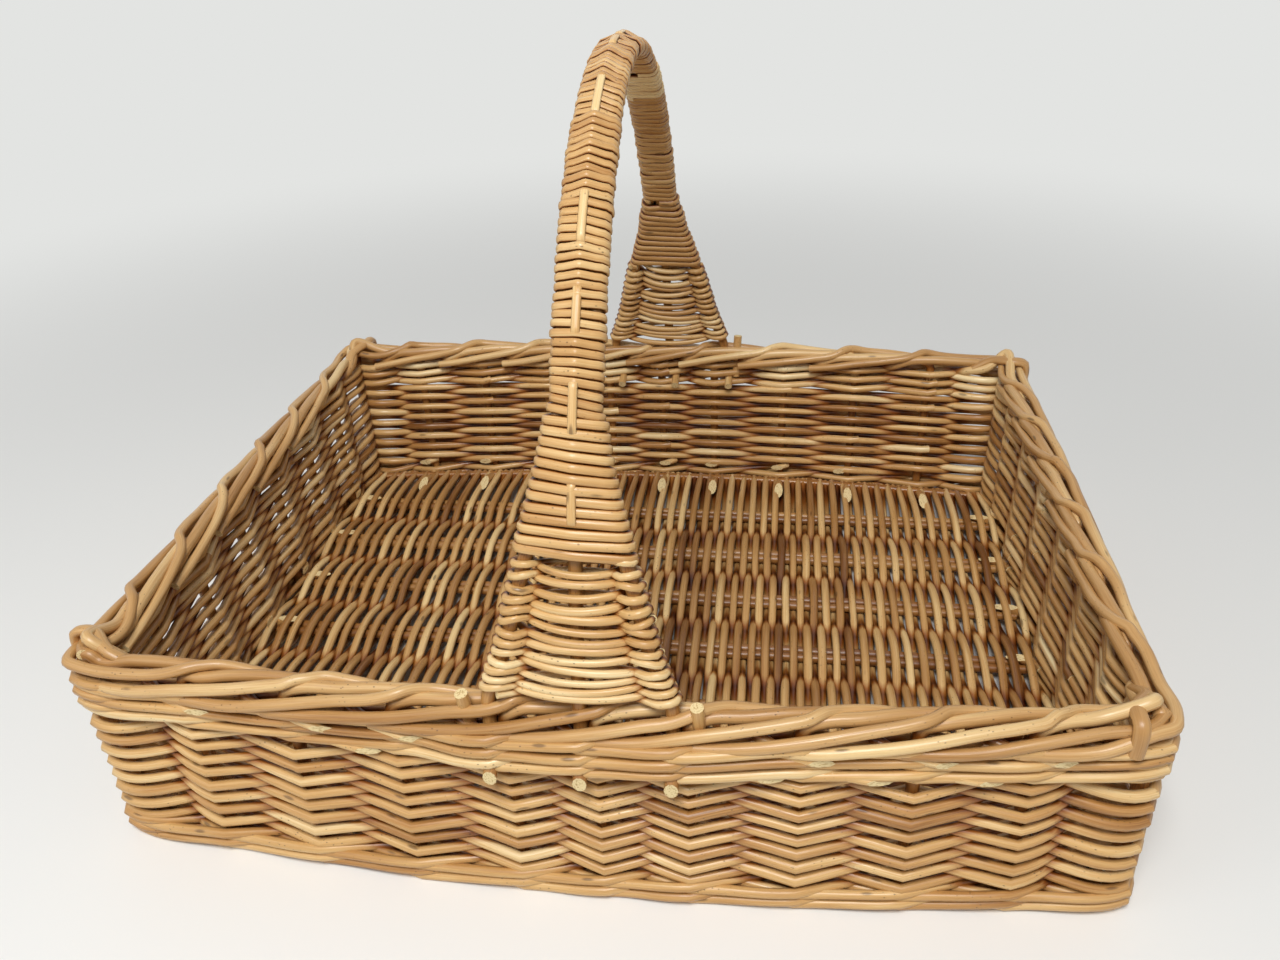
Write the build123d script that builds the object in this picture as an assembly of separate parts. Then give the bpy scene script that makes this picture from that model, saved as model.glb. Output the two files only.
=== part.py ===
from build123d import *
from math import cos, pi, sin, sqrt, tan
import os

# A large rectangular trug basket in willow, in millimetres: +X along its length, +Z up,
# origin at the middle of the surface that it stands on. Every rod is a faceted bar that
# follows the real rod's way through the weave, over and under its neighbours.
# Seen from above the sides run front, right, back, left, and so do the border rods.

# Body of the basket, measured to the middle of its walls
corner_half_length = 271.0
corner_half_depth = 199.0
long_side_bow = 18.0
short_side_bow = 3.0

# Clearances: a seated rod, a weaver that slopes past what it binds, two rows that cross,
# a binding on the faceted bows, and rods that meet end to side at a post
seat_clearance = 0.3
weave_clearance = 0.7
row_clearance = 0.25
binding_clearance = 0.6
corner_gap = 1.2

# Stakes and posts
stake_diameter = 7.0
post_diameter = 8.0
stakes_beside_handle = 3
short_side_stakes = 6
stake_sides = 6

# Weavers of the walls
weaver_diameter = 5.7
weaver_sides = 4
bottom_wale_rows = 3
randing_rows = 13
top_wale_rows = 3
foot_flat = 0.5
wale_stakes = 3

# Border, plaited from the tops of the stakes
border_half_width = 13.0
border_half_height = 12.0
border_rod_diameter = 7.0
border_tip_diameter = 5.5
border_sides = 4
# Way of one rod: stakes passed, then shares of the half width outward and half height upward
border_way_shares = [
    (0.00, 0.00, 0.64),
    (0.44, -0.25, 0.91),
    (1.00, -0.60, 1.00),
    (1.34, -0.81, 0.74),
    (1.49, -0.78, 0.22),
    (1.68, 0.61, -0.54),
    (2.00, 0.84, -0.48),
    (2.50, 0.98, -0.30),
    (3.00, 1.01, 0.12),
    (3.50, 0.90, 0.38),
    (4.00, 0.74, 0.64),
    (4.15, 0.23, 0.25),
    (4.29, -0.47, -0.09),
    (4.39, -0.69, -0.17),
]
post_turn_share = 0.08
# At a corner post the rods draw in close to it and climb over its top
corner_reach_share = 0.75
corner_rise = 6.5

# Base
stick_diameter = 6.0
stick_pairs = 6
base_weaver_width = 6.0
base_weaver_height = 4.8
base_weaver_gap = 0.45
base_weaver_sides = 3
base_lift = 1.0
edge_runs = 6

# Handle: three bow rods, spread at the feet and bound together above
bow_diameter = 7.0
bow_sides = 4
leg_pitch = 45.0
handle_height = 394.0
arch_centre_height = 60.0
arch_runs = 26
leg_end_reach = 11.0
leg_inner_reach = 2.0
leg_top_reach = 1.0
bulge_clearance = 1.4
closing_height = 270.0
# Height from the rim to where the legs meet, against how far they still stand apart
leg_spread_shares = [(0.0, 1.0), (0.21, 0.72), (0.51, 0.45), (0.80, 0.15), (1.0, 0.0)]

# Foot weave, bindings and leader of the handle
foot_weaver_diameter = 4.6
foot_rows = 14
foot_row_pitch = 5.4
foot_start = 7.0
foot_clearance = 1.4
round_binding_diameter = 5.0
round_binding_turns = 8
skein_thickness = 1.8
skein_turns = 10
binding_gap = 1.2
leader_width = 6.0
leader_thickness = 1.2
leader_step = 6.0
leader_start = 20.0

# Sizes that follow
stick_pair_pitch = 2 * corner_half_depth / (stick_pairs + 1)
stake_radius = stake_diameter / 2
weaver_radius = weaver_diameter / 2
bow_radius = bow_diameter / 2
stake_reach = stake_radius + weave_clearance + weaver_radius
post_reach = post_diameter / 2 + weave_clearance + weaver_radius
row_pitch = weaver_diameter + row_clearance
first_row_height = weaver_radius - foot_flat
wall_rows = bottom_wale_rows + randing_rows + top_wale_rows
wall_top = first_row_height + row_pitch * (wall_rows - 1) + weaver_radius
rim_height = wall_top + seat_clearance + border_rod_diameter / 2 + border_half_height / 2
arch_foot_height = rim_height + border_half_height
leg_end_height = wall_top - row_pitch * top_wale_rows + bulge_clearance
leg_bend_height = rim_height - border_half_height / 2
leg_beside = stake_radius + seat_clearance + bow_radius
bow_seat = bow_radius + binding_clearance

parts = {}


# How far a side's fourth corner may stand off the plane of the others, against its size
flatness_share = 1e-9


# Small vector helpers

def turned(points):
    """The same points after half a turn about +Z."""
    return [Vector(-p.X, -p.Y, p.Z) for p in points]


def between(table, value):
    """Read a table of (place, value) pairs at a place, in straight lines between them."""
    for (low, start), (high, end) in zip(table, table[1:]):
        if value <= high:
            return start + (end - start) * (value - low) / (high - low)
    return table[-1][1]


# Rods

def loft_rings(rings):
    """One solid with flat faces through a row of polygons, a twisted side split in two."""
    corners = [rings[0], rings[-1]]
    for low, top in zip(rings, rings[1:]):
        for a, b, c, d in zip(low, low[1:] + low[:1], top[1:] + top[:1], top):
            twist = (b - a).cross(c - a).normalized().dot(d - a)
            flat = abs(twist) < flatness_share * (c - a).length
            corners += [[a, b, c, d]] if flat else [[a, b, c], [a, c, d]]
    return Solid(Shell([Face(Wire.make_polygon(face, close=True)) for face in corners]))


def outline(sides, width, height):
    """Corners of a rod's section, one of them on top."""
    turns = [2 * pi * corner / sides for corner in range(sides)]
    return [(width / 2 * sin(turn), height / 2 * cos(turn)) for turn in turns]


def mitred_rings(points, section, scales, up):
    """A section carried along a path, cut square at its ends and mitred at its bends."""
    runs = [(end - start).normalized() for start, end in zip(points, points[1:])]
    across = up.cross(runs[0]).normalized()
    rise = runs[0].cross(across)
    rings = []
    for place, scale, before, after in zip(points, scales, [runs[0]] + runs, runs + [runs[-1]]):
        mitre = (before + after).normalized()

        def slide(way):
            return way - before * (way.dot(mitre) / before.dot(mitre))

        across, rise = slide(across), slide(rise)
        rings.append([place + (across * x + rise * y) * scale for x, y in section])
        across = across - after * across.dot(after)
        rise = rise - after * rise.dot(after)
    return rings


def rod(points, diameter, sides, tip=None, up=Vector(0, 0, 1)):
    """A round rod with flat sides along a path of straight runs, thinning evenly to its tip."""
    share = (tip or diameter) / diameter
    last = len(points) - 1
    scales = [1 + (share - 1) * number / last for number in range(last + 1)]
    return loft_rings(mitred_rings(points, outline(sides, diameter, diameter), scales, up))


# Walls

class Wall:
    """One side of the basket: the line of its stakes from one corner post to the next."""

    def __init__(self, name, start, along, outward, length, bow, stakes, first):
        self.name = name
        self.start = start
        self.along = along
        self.outward = outward
        self.length = length
        self.bow = bow
        self.stations = [0.0] + stakes + [length]
        self.first = first

    def bulge(self, distance):
        """How far the bowed wall stands out of the straight line between its posts."""
        off_centre = 2 * distance / self.length - 1
        return self.bow * (1 - off_centre**2)

    def place(self, distance, outward, height):
        """A point so far along the bowed wall, outward from its middle, and up."""
        out = self.bulge(distance) + outward
        return self.start + self.along * distance + self.outward * out + Vector(0, 0, height)

    def beside_post(self, distance, outward, height):
        """The same, where the bow has run out beside a post."""
        return self.start + self.along * distance + self.outward * outward + Vector(0, 0, height)


long_length = 2 * corner_half_length
short_length = 2 * corner_half_depth
handle_stakes = [corner_half_length + leg_beside + leg_pitch * side for side in (-1, 0, 1)]
first_gap = handle_stakes[0] / (stakes_beside_handle + 1)
last_gap = (long_length - handle_stakes[-1]) / (stakes_beside_handle + 1)
long_stakes = [first_gap * number for number in range(1, stakes_beside_handle + 1)]
long_stakes += handle_stakes
long_stakes += [handle_stakes[-1] + last_gap * n for n in range(1, stakes_beside_handle + 1)]
short_gap = short_length / (short_side_stakes + 1)
short_stakes = [short_gap * number for number in range(1, short_side_stakes + 1)]
half_ring = len(long_stakes) + len(short_stakes) + 2

ahead, aside = Vector(1, 0, 0), Vector(0, 1, 0)
walls = [
    Wall("front", Vector(-corner_half_length, -corner_half_depth, 0), ahead, -aside,
         long_length, long_side_bow, long_stakes, 0),
    Wall("right", Vector(corner_half_length, -corner_half_depth, 0), aside, ahead,
         short_length, short_side_bow, short_stakes, len(long_stakes) + 1),
    Wall("back", Vector(corner_half_length, corner_half_depth, 0), -ahead, aside,
         long_length, long_side_bow, long_stakes, half_ring),
    Wall("left", Vector(-corner_half_length, corner_half_depth, 0), -aside, -ahead,
         short_length, short_side_bow, short_stakes, half_ring + len(long_stakes) + 1),
]


def leg_reach_at(height):
    """How far out of the wall's middle a handle leg stands at a height inside the wall."""
    return between([(leg_end_height, leg_end_reach), (leg_bend_height, leg_inner_reach),
                    (arch_foot_height, leg_top_reach)], height)


def is_outside(row, station):
    """Whether a row passes a stake on the outside: plain randing, with wales below and above."""
    if bottom_wale_rows <= row < bottom_wale_rows + randing_rows:
        return (station + row) % 2 == 0
    return (station + row) % wale_stakes != 0


def row_points(wall, row):
    """Way of one rod along one wall, from post to post."""
    height = first_row_height + row_pitch * row
    last = len(wall.stations) - 1
    points = []
    if is_outside(row, wall.first):
        points.append(wall.beside_post(post_reach + corner_gap, post_reach, height))
    else:
        start = post_reach + weaver_radius + corner_gap
        points.append(wall.beside_post(start, -post_reach, height))
    for number in range(1, last):
        distance = wall.stations[number]
        outside = is_outside(row, wall.first + number)
        reach = stake_reach if outside else -stake_reach
        by_leg = distance in handle_stakes and wall.length == long_length
        if by_leg and height > leg_end_height - weaver_radius:
            reach -= weave_clearance
            if outside:
                reach = leg_reach_at(height) + bow_radius + weaver_radius + bulge_clearance
            points.append(wall.place(distance - leg_beside, reach, height))
        points.append(wall.place(distance, reach, height))
    if is_outside(row, wall.first + last):
        points.append(wall.beside_post(wall.length, post_reach, height))
        points.append(wall.beside_post(wall.length + post_reach, post_reach, height))
        points.append(wall.beside_post(wall.length + post_reach, -post_reach, height))
    else:
        points.append(wall.beside_post(wall.length - post_reach, -post_reach, height))
    return points


def rows(wall, numbers):
    """Rods of one wall, row over row. The lowest is worn flat where the basket stands."""
    rods = []
    for row in numbers:
        weaver = rod(row_points(wall, row), weaver_diameter, weaver_sides)
        if row == 0:
            weaver = weaver.split(Plane.XY, keep=Keep.TOP)
        rods.append(weaver)
    return rods


for wall in walls:
    low_rows = range(bottom_wale_rows)
    top_rows = range(wall_rows - top_wale_rows, wall_rows)
    parts[wall.name + "_bottom_wale"] = rows(wall, low_rows)
    parts[wall.name + "_randing"] = rows(wall, range(low_rows.stop, top_rows.start))
    parts[wall.name + "_top_wale"] = rows(wall, top_rows)


# Stakes and corner posts

def upright(foot, diameter):
    """A stake or post, from just above the ground to the hook of its border rod."""
    top = Vector(foot.X, foot.Y, wall_top)
    return rod([foot, top], diameter, stake_sides, up=ahead)


for wall in walls:
    feet = [wall.place(distance, 0, base_lift) for distance in wall.stations[1:-1]]
    parts[wall.name + "_stakes"] = [upright(foot, stake_diameter) for foot in feet]
parts["corner_posts"] = [upright(wall.beside_post(0, 0, base_lift), post_diameter)
                         for wall in walls]


# Border

def border_place(station, outward, height):
    """A point of the border, counted in stakes round the whole basket."""
    station = station % (2 * half_ring)
    wall = [wall for wall in walls if wall.first <= station][-1]
    number = int(station - wall.first)
    share = station - wall.first - number
    before, after = wall.stations[number], wall.stations[number + 1]
    if number == 0 and share == 0:
        reach = outward * corner_reach_share
        return wall.beside_post(-reach, reach, height + corner_rise)
    return wall.place(before + (after - before) * share, outward, height)


def border_points(station):
    """Way of the border rod that rises at a stake and ends inside, four stakes on.
    Where that is just past a corner post it dives in later, and is cut off shorter."""
    hook = border_place(station, 0, 0)
    points = [Vector(hook.X, hook.Y, wall_top + seat_clearance)]
    last_stake = int(border_way_shares[-1][0])
    turns_post = (station + last_stake) % (2 * half_ring) in [wall.first for wall in walls]
    for passed, out_share, up_share in border_way_shares[:-1 if turns_post else None]:
        late = post_turn_share if turns_post and passed > last_stake else 0
        out, rise = border_half_width * out_share, border_half_height * up_share
        points.append(border_place(station + passed + late, out, rim_height + rise))
    return points


for wall in walls:
    stations = range(wall.first, wall.first + len(wall.stations) - 1)
    parts[wall.name + "_border"] = [
        rod(border_points(station), border_rod_diameter, border_sides, border_tip_diameter, ahead)
        for station in stations]


# Base

base_reach = stick_diameter / 2 + weave_clearance + base_weaver_height / 2
pair_half = (stick_diameter + seat_clearance) / 2
base_swing = base_reach / (1 - 2 * pair_half / stick_pair_pitch)
base_middle = base_lift + base_swing + base_weaver_height / 2
wall_inside = stake_reach + weaver_radius + seat_clearance
front, right = walls[0], walls[1]


def half_depth_at(x):
    """From the middle to the inner face of the front or back wall."""
    return corner_half_depth + front.bulge(x + corner_half_length) - wall_inside


def edge_place(x, side):
    """A point of the bowed outer stick."""
    return Vector(x, side * (half_depth_at(x) - stick_diameter / 2 - weave_clearance),
                  base_middle)


stick_half_length = corner_half_length - wall_inside
pair_places = [stick_pair_pitch * (number - (stick_pairs - 1) / 2) for number in range(stick_pairs)]
stick_places = [place + side * pair_half for place in pair_places for side in (-1, 1)]
parts["base_stick_pairs"] = []
for y in stick_places:
    reach = stick_half_length + right.bulge(y + corner_half_depth)
    ends = [Vector(-reach, y, base_middle), Vector(reach, y, base_middle)]
    parts["base_stick_pairs"].append(rod(ends, stick_diameter, stake_sides))
edge_columns = [stick_half_length * (2 * run / edge_runs - 1) for run in range(edge_runs + 1)]
parts["base_edge_sticks"] = [
    rod([edge_place(x, side) for x in edge_columns], stick_diameter, stake_sides)
    for side in (-1, 1)]


def base_weaver(x, parity):
    """One weaver from the front wall to the back wall, over and under the sticks in turn."""
    end = half_depth_at(x)
    points = [Vector(x, y, base_middle + base_swing * (-1) ** (number + parity))
              for number, y in enumerate([-end] + pair_places + [end])]
    section = outline(base_weaver_sides, base_weaver_width, base_weaver_height)
    return loft_rings(mitred_rings(points, section, [1] * len(points), Vector(0, 0, 1)))


base_pitch = base_weaver_width + base_weaver_gap
base_columns = int((2 * stick_half_length - base_weaver_width) / base_pitch) + 1
column_places = [base_pitch * (number - (base_columns - 1) / 2) for number in range(base_columns)]
parts["base_weave"] = [base_weaver(x, number) for number, x in enumerate(column_places)]


# Handle: the arch that its middle bow follows, from the front foot to the back foot

arch_rise = handle_height - arch_centre_height
rim_half_depth = corner_half_depth + long_side_bow
foot_rise = arch_foot_height - arch_centre_height
arch_half_span = rim_half_depth / sqrt(1 - (foot_rise / arch_rise) ** 2)


def arch_points():
    """Corners of the arch, evenly turned along an ellipse that leans in from the rim."""
    start = sqrt(1 - (foot_rise / arch_rise) ** 2)
    first_turn = [step / 1000 for step in range(1571) if cos(step / 1000) <= start][0]
    turns = [first_turn + (pi - 2 * first_turn) * run / arch_runs for run in range(arch_runs + 1)]
    return [Vector(0, -arch_half_span * cos(turn), arch_centre_height + arch_rise * sin(turn))
            for turn in turns]


arch = arch_points()
arch_lengths = [(end - start).length for start, end in zip(arch, arch[1:])]
handle_length = sum(arch_lengths)


arch_outward = []
for before, after in zip([0] + list(range(arch_runs)), list(range(arch_runs)) + [arch_runs - 1]):
    along = (arch[before + 1] - arch[before] + arch[after + 1] - arch[after]).normalized()
    arch_outward.append(along.cross(-ahead))


def arch_run(distance):
    """Which run of the arch a distance from the front foot falls in, and the share of it."""
    run = 0
    while run < arch_runs - 1 and distance > arch_lengths[run]:
        distance -= arch_lengths[run]
        run += 1
    return run, distance / arch_lengths[run]


def outward_at(distance):
    """Way out of the arch, turning evenly from corner to corner."""
    run, share = arch_run(distance)
    return (arch_outward[run] * (1 - share) + arch_outward[run + 1] * share).normalized()


def leg_spread(height):
    """How far the outer bows stand from the middle one at a height."""
    share = min(max((height - arch_foot_height) / (closing_height - arch_foot_height), 0), 1)
    closed = bow_diameter + seat_clearance
    return closed + (leg_pitch - closed) * between(leg_spread_shares, share)


def spread_at(distance):
    """The same, on the straight runs of the bows, so far along the arch."""
    run, share = arch_run(distance)
    return leg_spread(arch[run].Z) * (1 - share) + leg_spread(arch[run + 1].Z) * share


def handle_place(distance, sideways, out):
    """A point on the handle: along the arch, across it, and outward."""
    run, share = arch_run(distance)
    place = arch[run] * (1 - share) + arch[run + 1] * share
    return place + ahead * sideways + outward_at(distance) * out


def bow(side):
    """One bow rod, pushed down into both walls and spread from its fellows at the feet."""
    leg = []
    for height in (leg_end_height, leg_bend_height):
        out = rim_half_depth + leg_reach_at(height)
        leg.append(Vector(side * leg_pitch, -out, height))
    over = [place + ahead * side * leg_spread(place.Z) for place in arch]
    end = [Vector(place.X, -place.Y, place.Z) for place in reversed(leg)]
    return rod(leg + over + end, bow_diameter, bow_sides, up=ahead)


for name, side in (("left", -1), ("middle", 0), ("right", 1)):
    parts["handle_bow_" + name] = [bow(side)]


# Weaver round the three legs of a foot, to and fro in one unbroken rod

def foot_weave():
    reach = bow_radius + foot_clearance + foot_weaver_diameter / 2
    corner = reach * tan(pi / 8)
    points = []
    for row in range(foot_rows):
        distance = foot_start + foot_row_pitch * row
        spread = spread_at(distance)
        side = 1 if row % 2 == 0 else -1
        points.append(handle_place(distance, -side * (spread + corner), side * reach))
        points.append(handle_place(distance, 0, -side * reach))
        points.append(handle_place(distance, side * (spread + corner), side * reach))
        rise = foot_row_pitch / 4
        if row < foot_rows - 1:
            points.append(handle_place(distance + rise, side * (spread + reach), side * corner))
            points.append(handle_place(distance + 3 * rise, side * (spread + reach),
                                       -side * corner))
    return points


foot_points = foot_weave()
parts["handle_foot_weave_front"] = [rod(foot_points, foot_weaver_diameter, weaver_sides)]
parts["handle_foot_weave_back"] = [rod(turned(foot_points), foot_weaver_diameter, weaver_sides)]


# Bindings that wrap the three bows

def loop_corner(number, spread, reach, lift):
    """One of the eight corners of a loop round the bows, raised outside over the leader."""
    turn = pi / 8 + number * pi / 4
    size = reach / cos(pi / 8)
    sideways = size * cos(turn) + (spread if cos(turn) > 0 else -spread)
    out = size * sin(turn) + (lift if sin(turn) > 0 else 0)
    return sideways, out


def loop_points(start, pitch, turns, reach, lift):
    """Way of an unbroken binding, eight corners to a loop, from under the handle and back."""
    points = []
    for number in range(8 * turns + 1):
        distance = start + pitch * number / 8
        sideways, out = loop_corner(number + 5, spread_at(distance), reach, lift)
        points.append(handle_place(distance, sideways, out))
    return points


def skein_rings(start, pitch, turns, lift):
    """Rings of a flat binding, each as wide along the handle as the skein."""
    rings = []
    inner = loop_points(start, pitch, turns, bow_seat, lift)
    outer = loop_points(start, pitch, turns, bow_seat + skein_thickness, lift)
    for number, (low, top) in enumerate(zip(inner, outer)):
        half = outward_at(start + pitch * number / 8).cross(ahead) * skein_width / 2
        rings.append([low - half, low + half, top + half, top - half])
    return rings


def least_gap(rings):
    """Least distance between the corners of one loop and of the next."""
    return min((here - there).length
               for ring, following in zip(rings, rings[8:])
               for here in ring for there in following)


foot_end = foot_start + foot_row_pitch * foot_rows
round_radius = round_binding_diameter / 2
round_pitch = round_binding_diameter + binding_gap
round_end = foot_end + round_pitch * round_binding_turns + round_binding_diameter
skein_zone = (handle_length - 2 * round_end - 4 * leader_step) / 3
skein_pitch = (skein_zone + binding_gap) / (skein_turns + 1)
skein_width = skein_pitch - binding_gap
section = outline(weaver_sides, round_binding_diameter, round_binding_diameter)
for name, start in (("foot_front", foot_end), ("foot_back", handle_length - round_end)):
    points = loop_points(start + round_radius, round_pitch, round_binding_turns,
                         bow_seat + round_radius, 0)
    rings = mitred_rings(points, section, [1] * len(points), ahead)
    parts["handle_binding_" + name] = [loft_rings(rings)]
    print("binding", name, "turns", round_binding_turns, "least gap", round(least_gap(rings), 2))
for number, name in enumerate(("front", "top", "back")):
    start = round_end + leader_step + (skein_zone + leader_step) * number
    lift = 0 if name == "top" else leader_thickness + seat_clearance
    rings = skein_rings(start + skein_width / 2, skein_pitch, skein_turns, lift)
    parts["handle_binding_" + name] = [loft_rings(rings)]
    print("binding", name, "turns", skein_turns, "least gap", round(least_gap(rings), 2))


# Leader: one strip along the outside, over the round bindings and the top, under the others

def leader():
    over_round = bow_seat + round_binding_diameter + weave_clearance
    over_skein = bow_seat + skein_thickness + weave_clearance
    front_end = round_end + leader_step
    top_start = front_end + skein_zone
    way = [(foot_end + leader_start, over_round), (round_end, over_round), (front_end, bow_seat),
           (top_start, bow_seat), (top_start + leader_step, over_skein)]
    way += [(handle_length - distance, out) for distance, out in reversed(way)]
    corners = [sum(arch_lengths[:run]) for run in range(arch_runs)]
    corners = [corner for corner in corners if way[0][0] < corner < way[-1][0]]
    places = [(corner, between(way, corner)) for corner in corners]
    half = leader_width / 2
    section = ((-half, 0), (half, 0), (half, leader_thickness), (-half, leader_thickness))
    return loft_rings([[handle_place(distance, sideways, out + rise) for sideways, rise in section]
                       for distance, out in sorted(way + places)])


parts["handle_leader"] = [leader()]

os.makedirs("parts", exist_ok=True)
for name, solids in parts.items():
    export_step(Compound(children=solids) if len(solids) > 1 else solids[0],
                os.path.join("parts", name + ".step"))
print("overall", round(2 * corner_half_length), round(2 * rim_half_depth), handle_height)
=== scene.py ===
"""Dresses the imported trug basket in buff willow.

Every rod of the real basket is a tapered tube of its own here: it follows its way over and
under its neighbours, has its own tone and thickness, and shows pale pith where it is cut.
Lengths are written in millimetres and turn to metres where a mesh is made. Stations count
the stakes round the basket: front, right, back and left wall, each from its first post.
"""

import logging
import math
from collections.abc import Callable, Iterable, Sequence
from dataclasses import dataclass, field, replace
from enum import Enum
from functools import partial

import bpy
import numpy as np
from bpy.types import Material, Node, NodeSocket, NodeTree, Object
from mathutils import Matrix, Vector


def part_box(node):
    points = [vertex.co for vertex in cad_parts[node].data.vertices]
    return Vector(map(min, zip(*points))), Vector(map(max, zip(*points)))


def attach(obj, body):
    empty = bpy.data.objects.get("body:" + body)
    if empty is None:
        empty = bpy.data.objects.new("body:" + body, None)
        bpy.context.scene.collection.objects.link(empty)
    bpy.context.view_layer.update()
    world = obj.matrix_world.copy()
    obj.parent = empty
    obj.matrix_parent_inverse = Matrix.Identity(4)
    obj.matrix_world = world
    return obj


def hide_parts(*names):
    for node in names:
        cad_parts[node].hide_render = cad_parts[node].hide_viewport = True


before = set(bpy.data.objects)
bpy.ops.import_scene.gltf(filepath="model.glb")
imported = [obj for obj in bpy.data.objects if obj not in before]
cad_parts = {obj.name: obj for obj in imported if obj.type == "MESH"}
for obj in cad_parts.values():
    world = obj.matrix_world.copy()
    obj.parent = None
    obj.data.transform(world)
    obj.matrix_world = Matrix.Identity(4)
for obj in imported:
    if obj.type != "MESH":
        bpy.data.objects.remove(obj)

log = logging.getLogger("basket")
MM = 0.001
UP = np.array((0.0, 0.0, 1.0))
AHEAD = np.array((1.0, 0.0, 0.0))
ASIDE = np.array((0.0, 1.0, 0.0))
TINY = 1e-6


# Frame

def low_corner(node: str) -> np.ndarray:
    """Lowest corner of a CAD node's box, in millimetres."""
    return np.array(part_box(node)[0]) / MM


def high_corner(node: str) -> np.ndarray:
    """Highest corner of a CAD node's box, in millimetres."""
    return np.array(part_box(node)[1]) / MM


# Lines

def unit(vectors: np.ndarray) -> np.ndarray:
    """The same vectors, one long each."""
    lengths = np.linalg.norm(vectors, axis=-1, keepdims=True)
    return vectors / np.maximum(lengths, TINY)


def smooth_line(points: Sequence[np.ndarray], step: float,
                closed: bool = False) -> tuple[np.ndarray, np.ndarray]:
    """Draw a smooth line through points, as a springy rod lies.

    Args:
        points: Places that the line passes, in millimetres.
        step: About how far apart the samples stand.
        closed: Whether the line runs on from its last point to its first.

    Returns:
        The samples, and where each stands among the points, counted from zero.
    """
    given = np.asarray(points, float)
    if closed:
        knots = np.vstack([given[-1], given, given[0], given[1]])
    else:
        knots = np.vstack([2 * given[0] - given[1], given, 2 * given[-1] - given[-2]])
    spans = np.maximum(np.linalg.norm(np.diff(knots, axis=0), axis=1), TINY)
    slopes = np.diff(knots, axis=0) / spans[:, None]
    before, after = spans[:-1, None], spans[1:, None]
    tangents = (slopes[:-1] * after + slopes[1:] * before) / (before + after)
    samples, places = [], []
    for number in range(len(knots) - 3):
        start, end = knots[number + 1], knots[number + 2]
        span = spans[number + 1]
        count = max(1, round(span / step))
        share = np.arange(count)[:, None] / count
        square, cube = share**2, share**3
        samples.append((2 * cube - 3 * square + 1) * start
                       + (cube - 2 * square + share) * span * tangents[number]
                       + (3 * square - 2 * cube) * end
                       + (cube - square) * span * tangents[number + 1])
        places.append(number + share[:, 0])
    samples.append(knots[-2][None])
    places.append(np.array([len(knots) - 3.0]))
    return np.vstack(samples), np.concatenate(places)


def carried_frame(line: np.ndarray, facing: np.ndarray) -> tuple[np.ndarray, np.ndarray]:
    """Carry a rod's section along its line without twisting it.

    Args:
        line: Samples of the rod's middle.
        facing: The way its top faces, one vector, or one for each sample.

    Returns:
        The ways across the section and out of its top, at each sample.
    """
    ahead = unit(np.gradient(line, axis=0))
    if facing.ndim == 2:
        across = unit(np.cross(ahead, facing))
        return across, np.cross(across, ahead)
    across = np.empty_like(line)
    carried = np.cross(ahead[0], facing)
    for number, way in enumerate(ahead):
        carried = carried - way * (carried @ way)
        carried = carried / max(math.sqrt(carried @ carried), TINY)
        across[number] = carried
    return across, np.cross(across, ahead)


# Rods

class End(Enum):
    """How a rod's end is finished."""

    SQUARE = "cut straight across"
    SLYPE = "cut with one long slant"


@dataclass
class Rod:
    """One willow rod or skein.

    A packed one, wound tight beside its neighbours, is flattened there, and only its crown
    lies open; its sides and underside take painted shade.

    Attributes:
        line: Samples of its middle, in millimetres.
        thickness: Its thickness at each sample, or all along.
        tone: From 0, pale cream, to 1, brown.
        facing: The way its top faces, one vector or one for each sample.
        width: Its width across, against its thickness.
        ends: How it begins and how it ends.
        slant: Length of a slanted cut, against the thickness. It faces as the top does.
        packed: Whether it is wound tight beside its neighbours.
    """

    line: np.ndarray
    thickness: np.ndarray | float
    tone: float
    facing: np.ndarray = field(default_factory=lambda: UP)
    width: np.ndarray | float = 1.0
    ends: tuple[End, End] = (End.SQUARE, End.SQUARE)
    slant: float = 2.0
    packed: bool = False

    def without_cut_samples(self) -> "Rod":
        """Leave out the samples inside a slanting cut, which the cut face spans.

        Returns:
            The same rod with the samples that are left.
        """
        lengths = np.linalg.norm(np.diff(self.line, axis=0), axis=1)
        along = np.concatenate([[0.0], np.cumsum(lengths)])
        reach = float(np.max(self.thickness)) * self.slant
        kept = np.ones(len(self.line), bool)
        if self.ends[0] is End.SLYPE:
            kept[1:] &= along[1:] > reach
        if self.ends[1] is End.SLYPE:
            kept[:-1] &= along[:-1] < along[-1] - reach
        kept[[0, -1]] = True
        return replace(self, line=np.asarray(self.line)[kept],
                       thickness=np.broadcast_to(self.thickness, len(kept))[kept])


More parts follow.
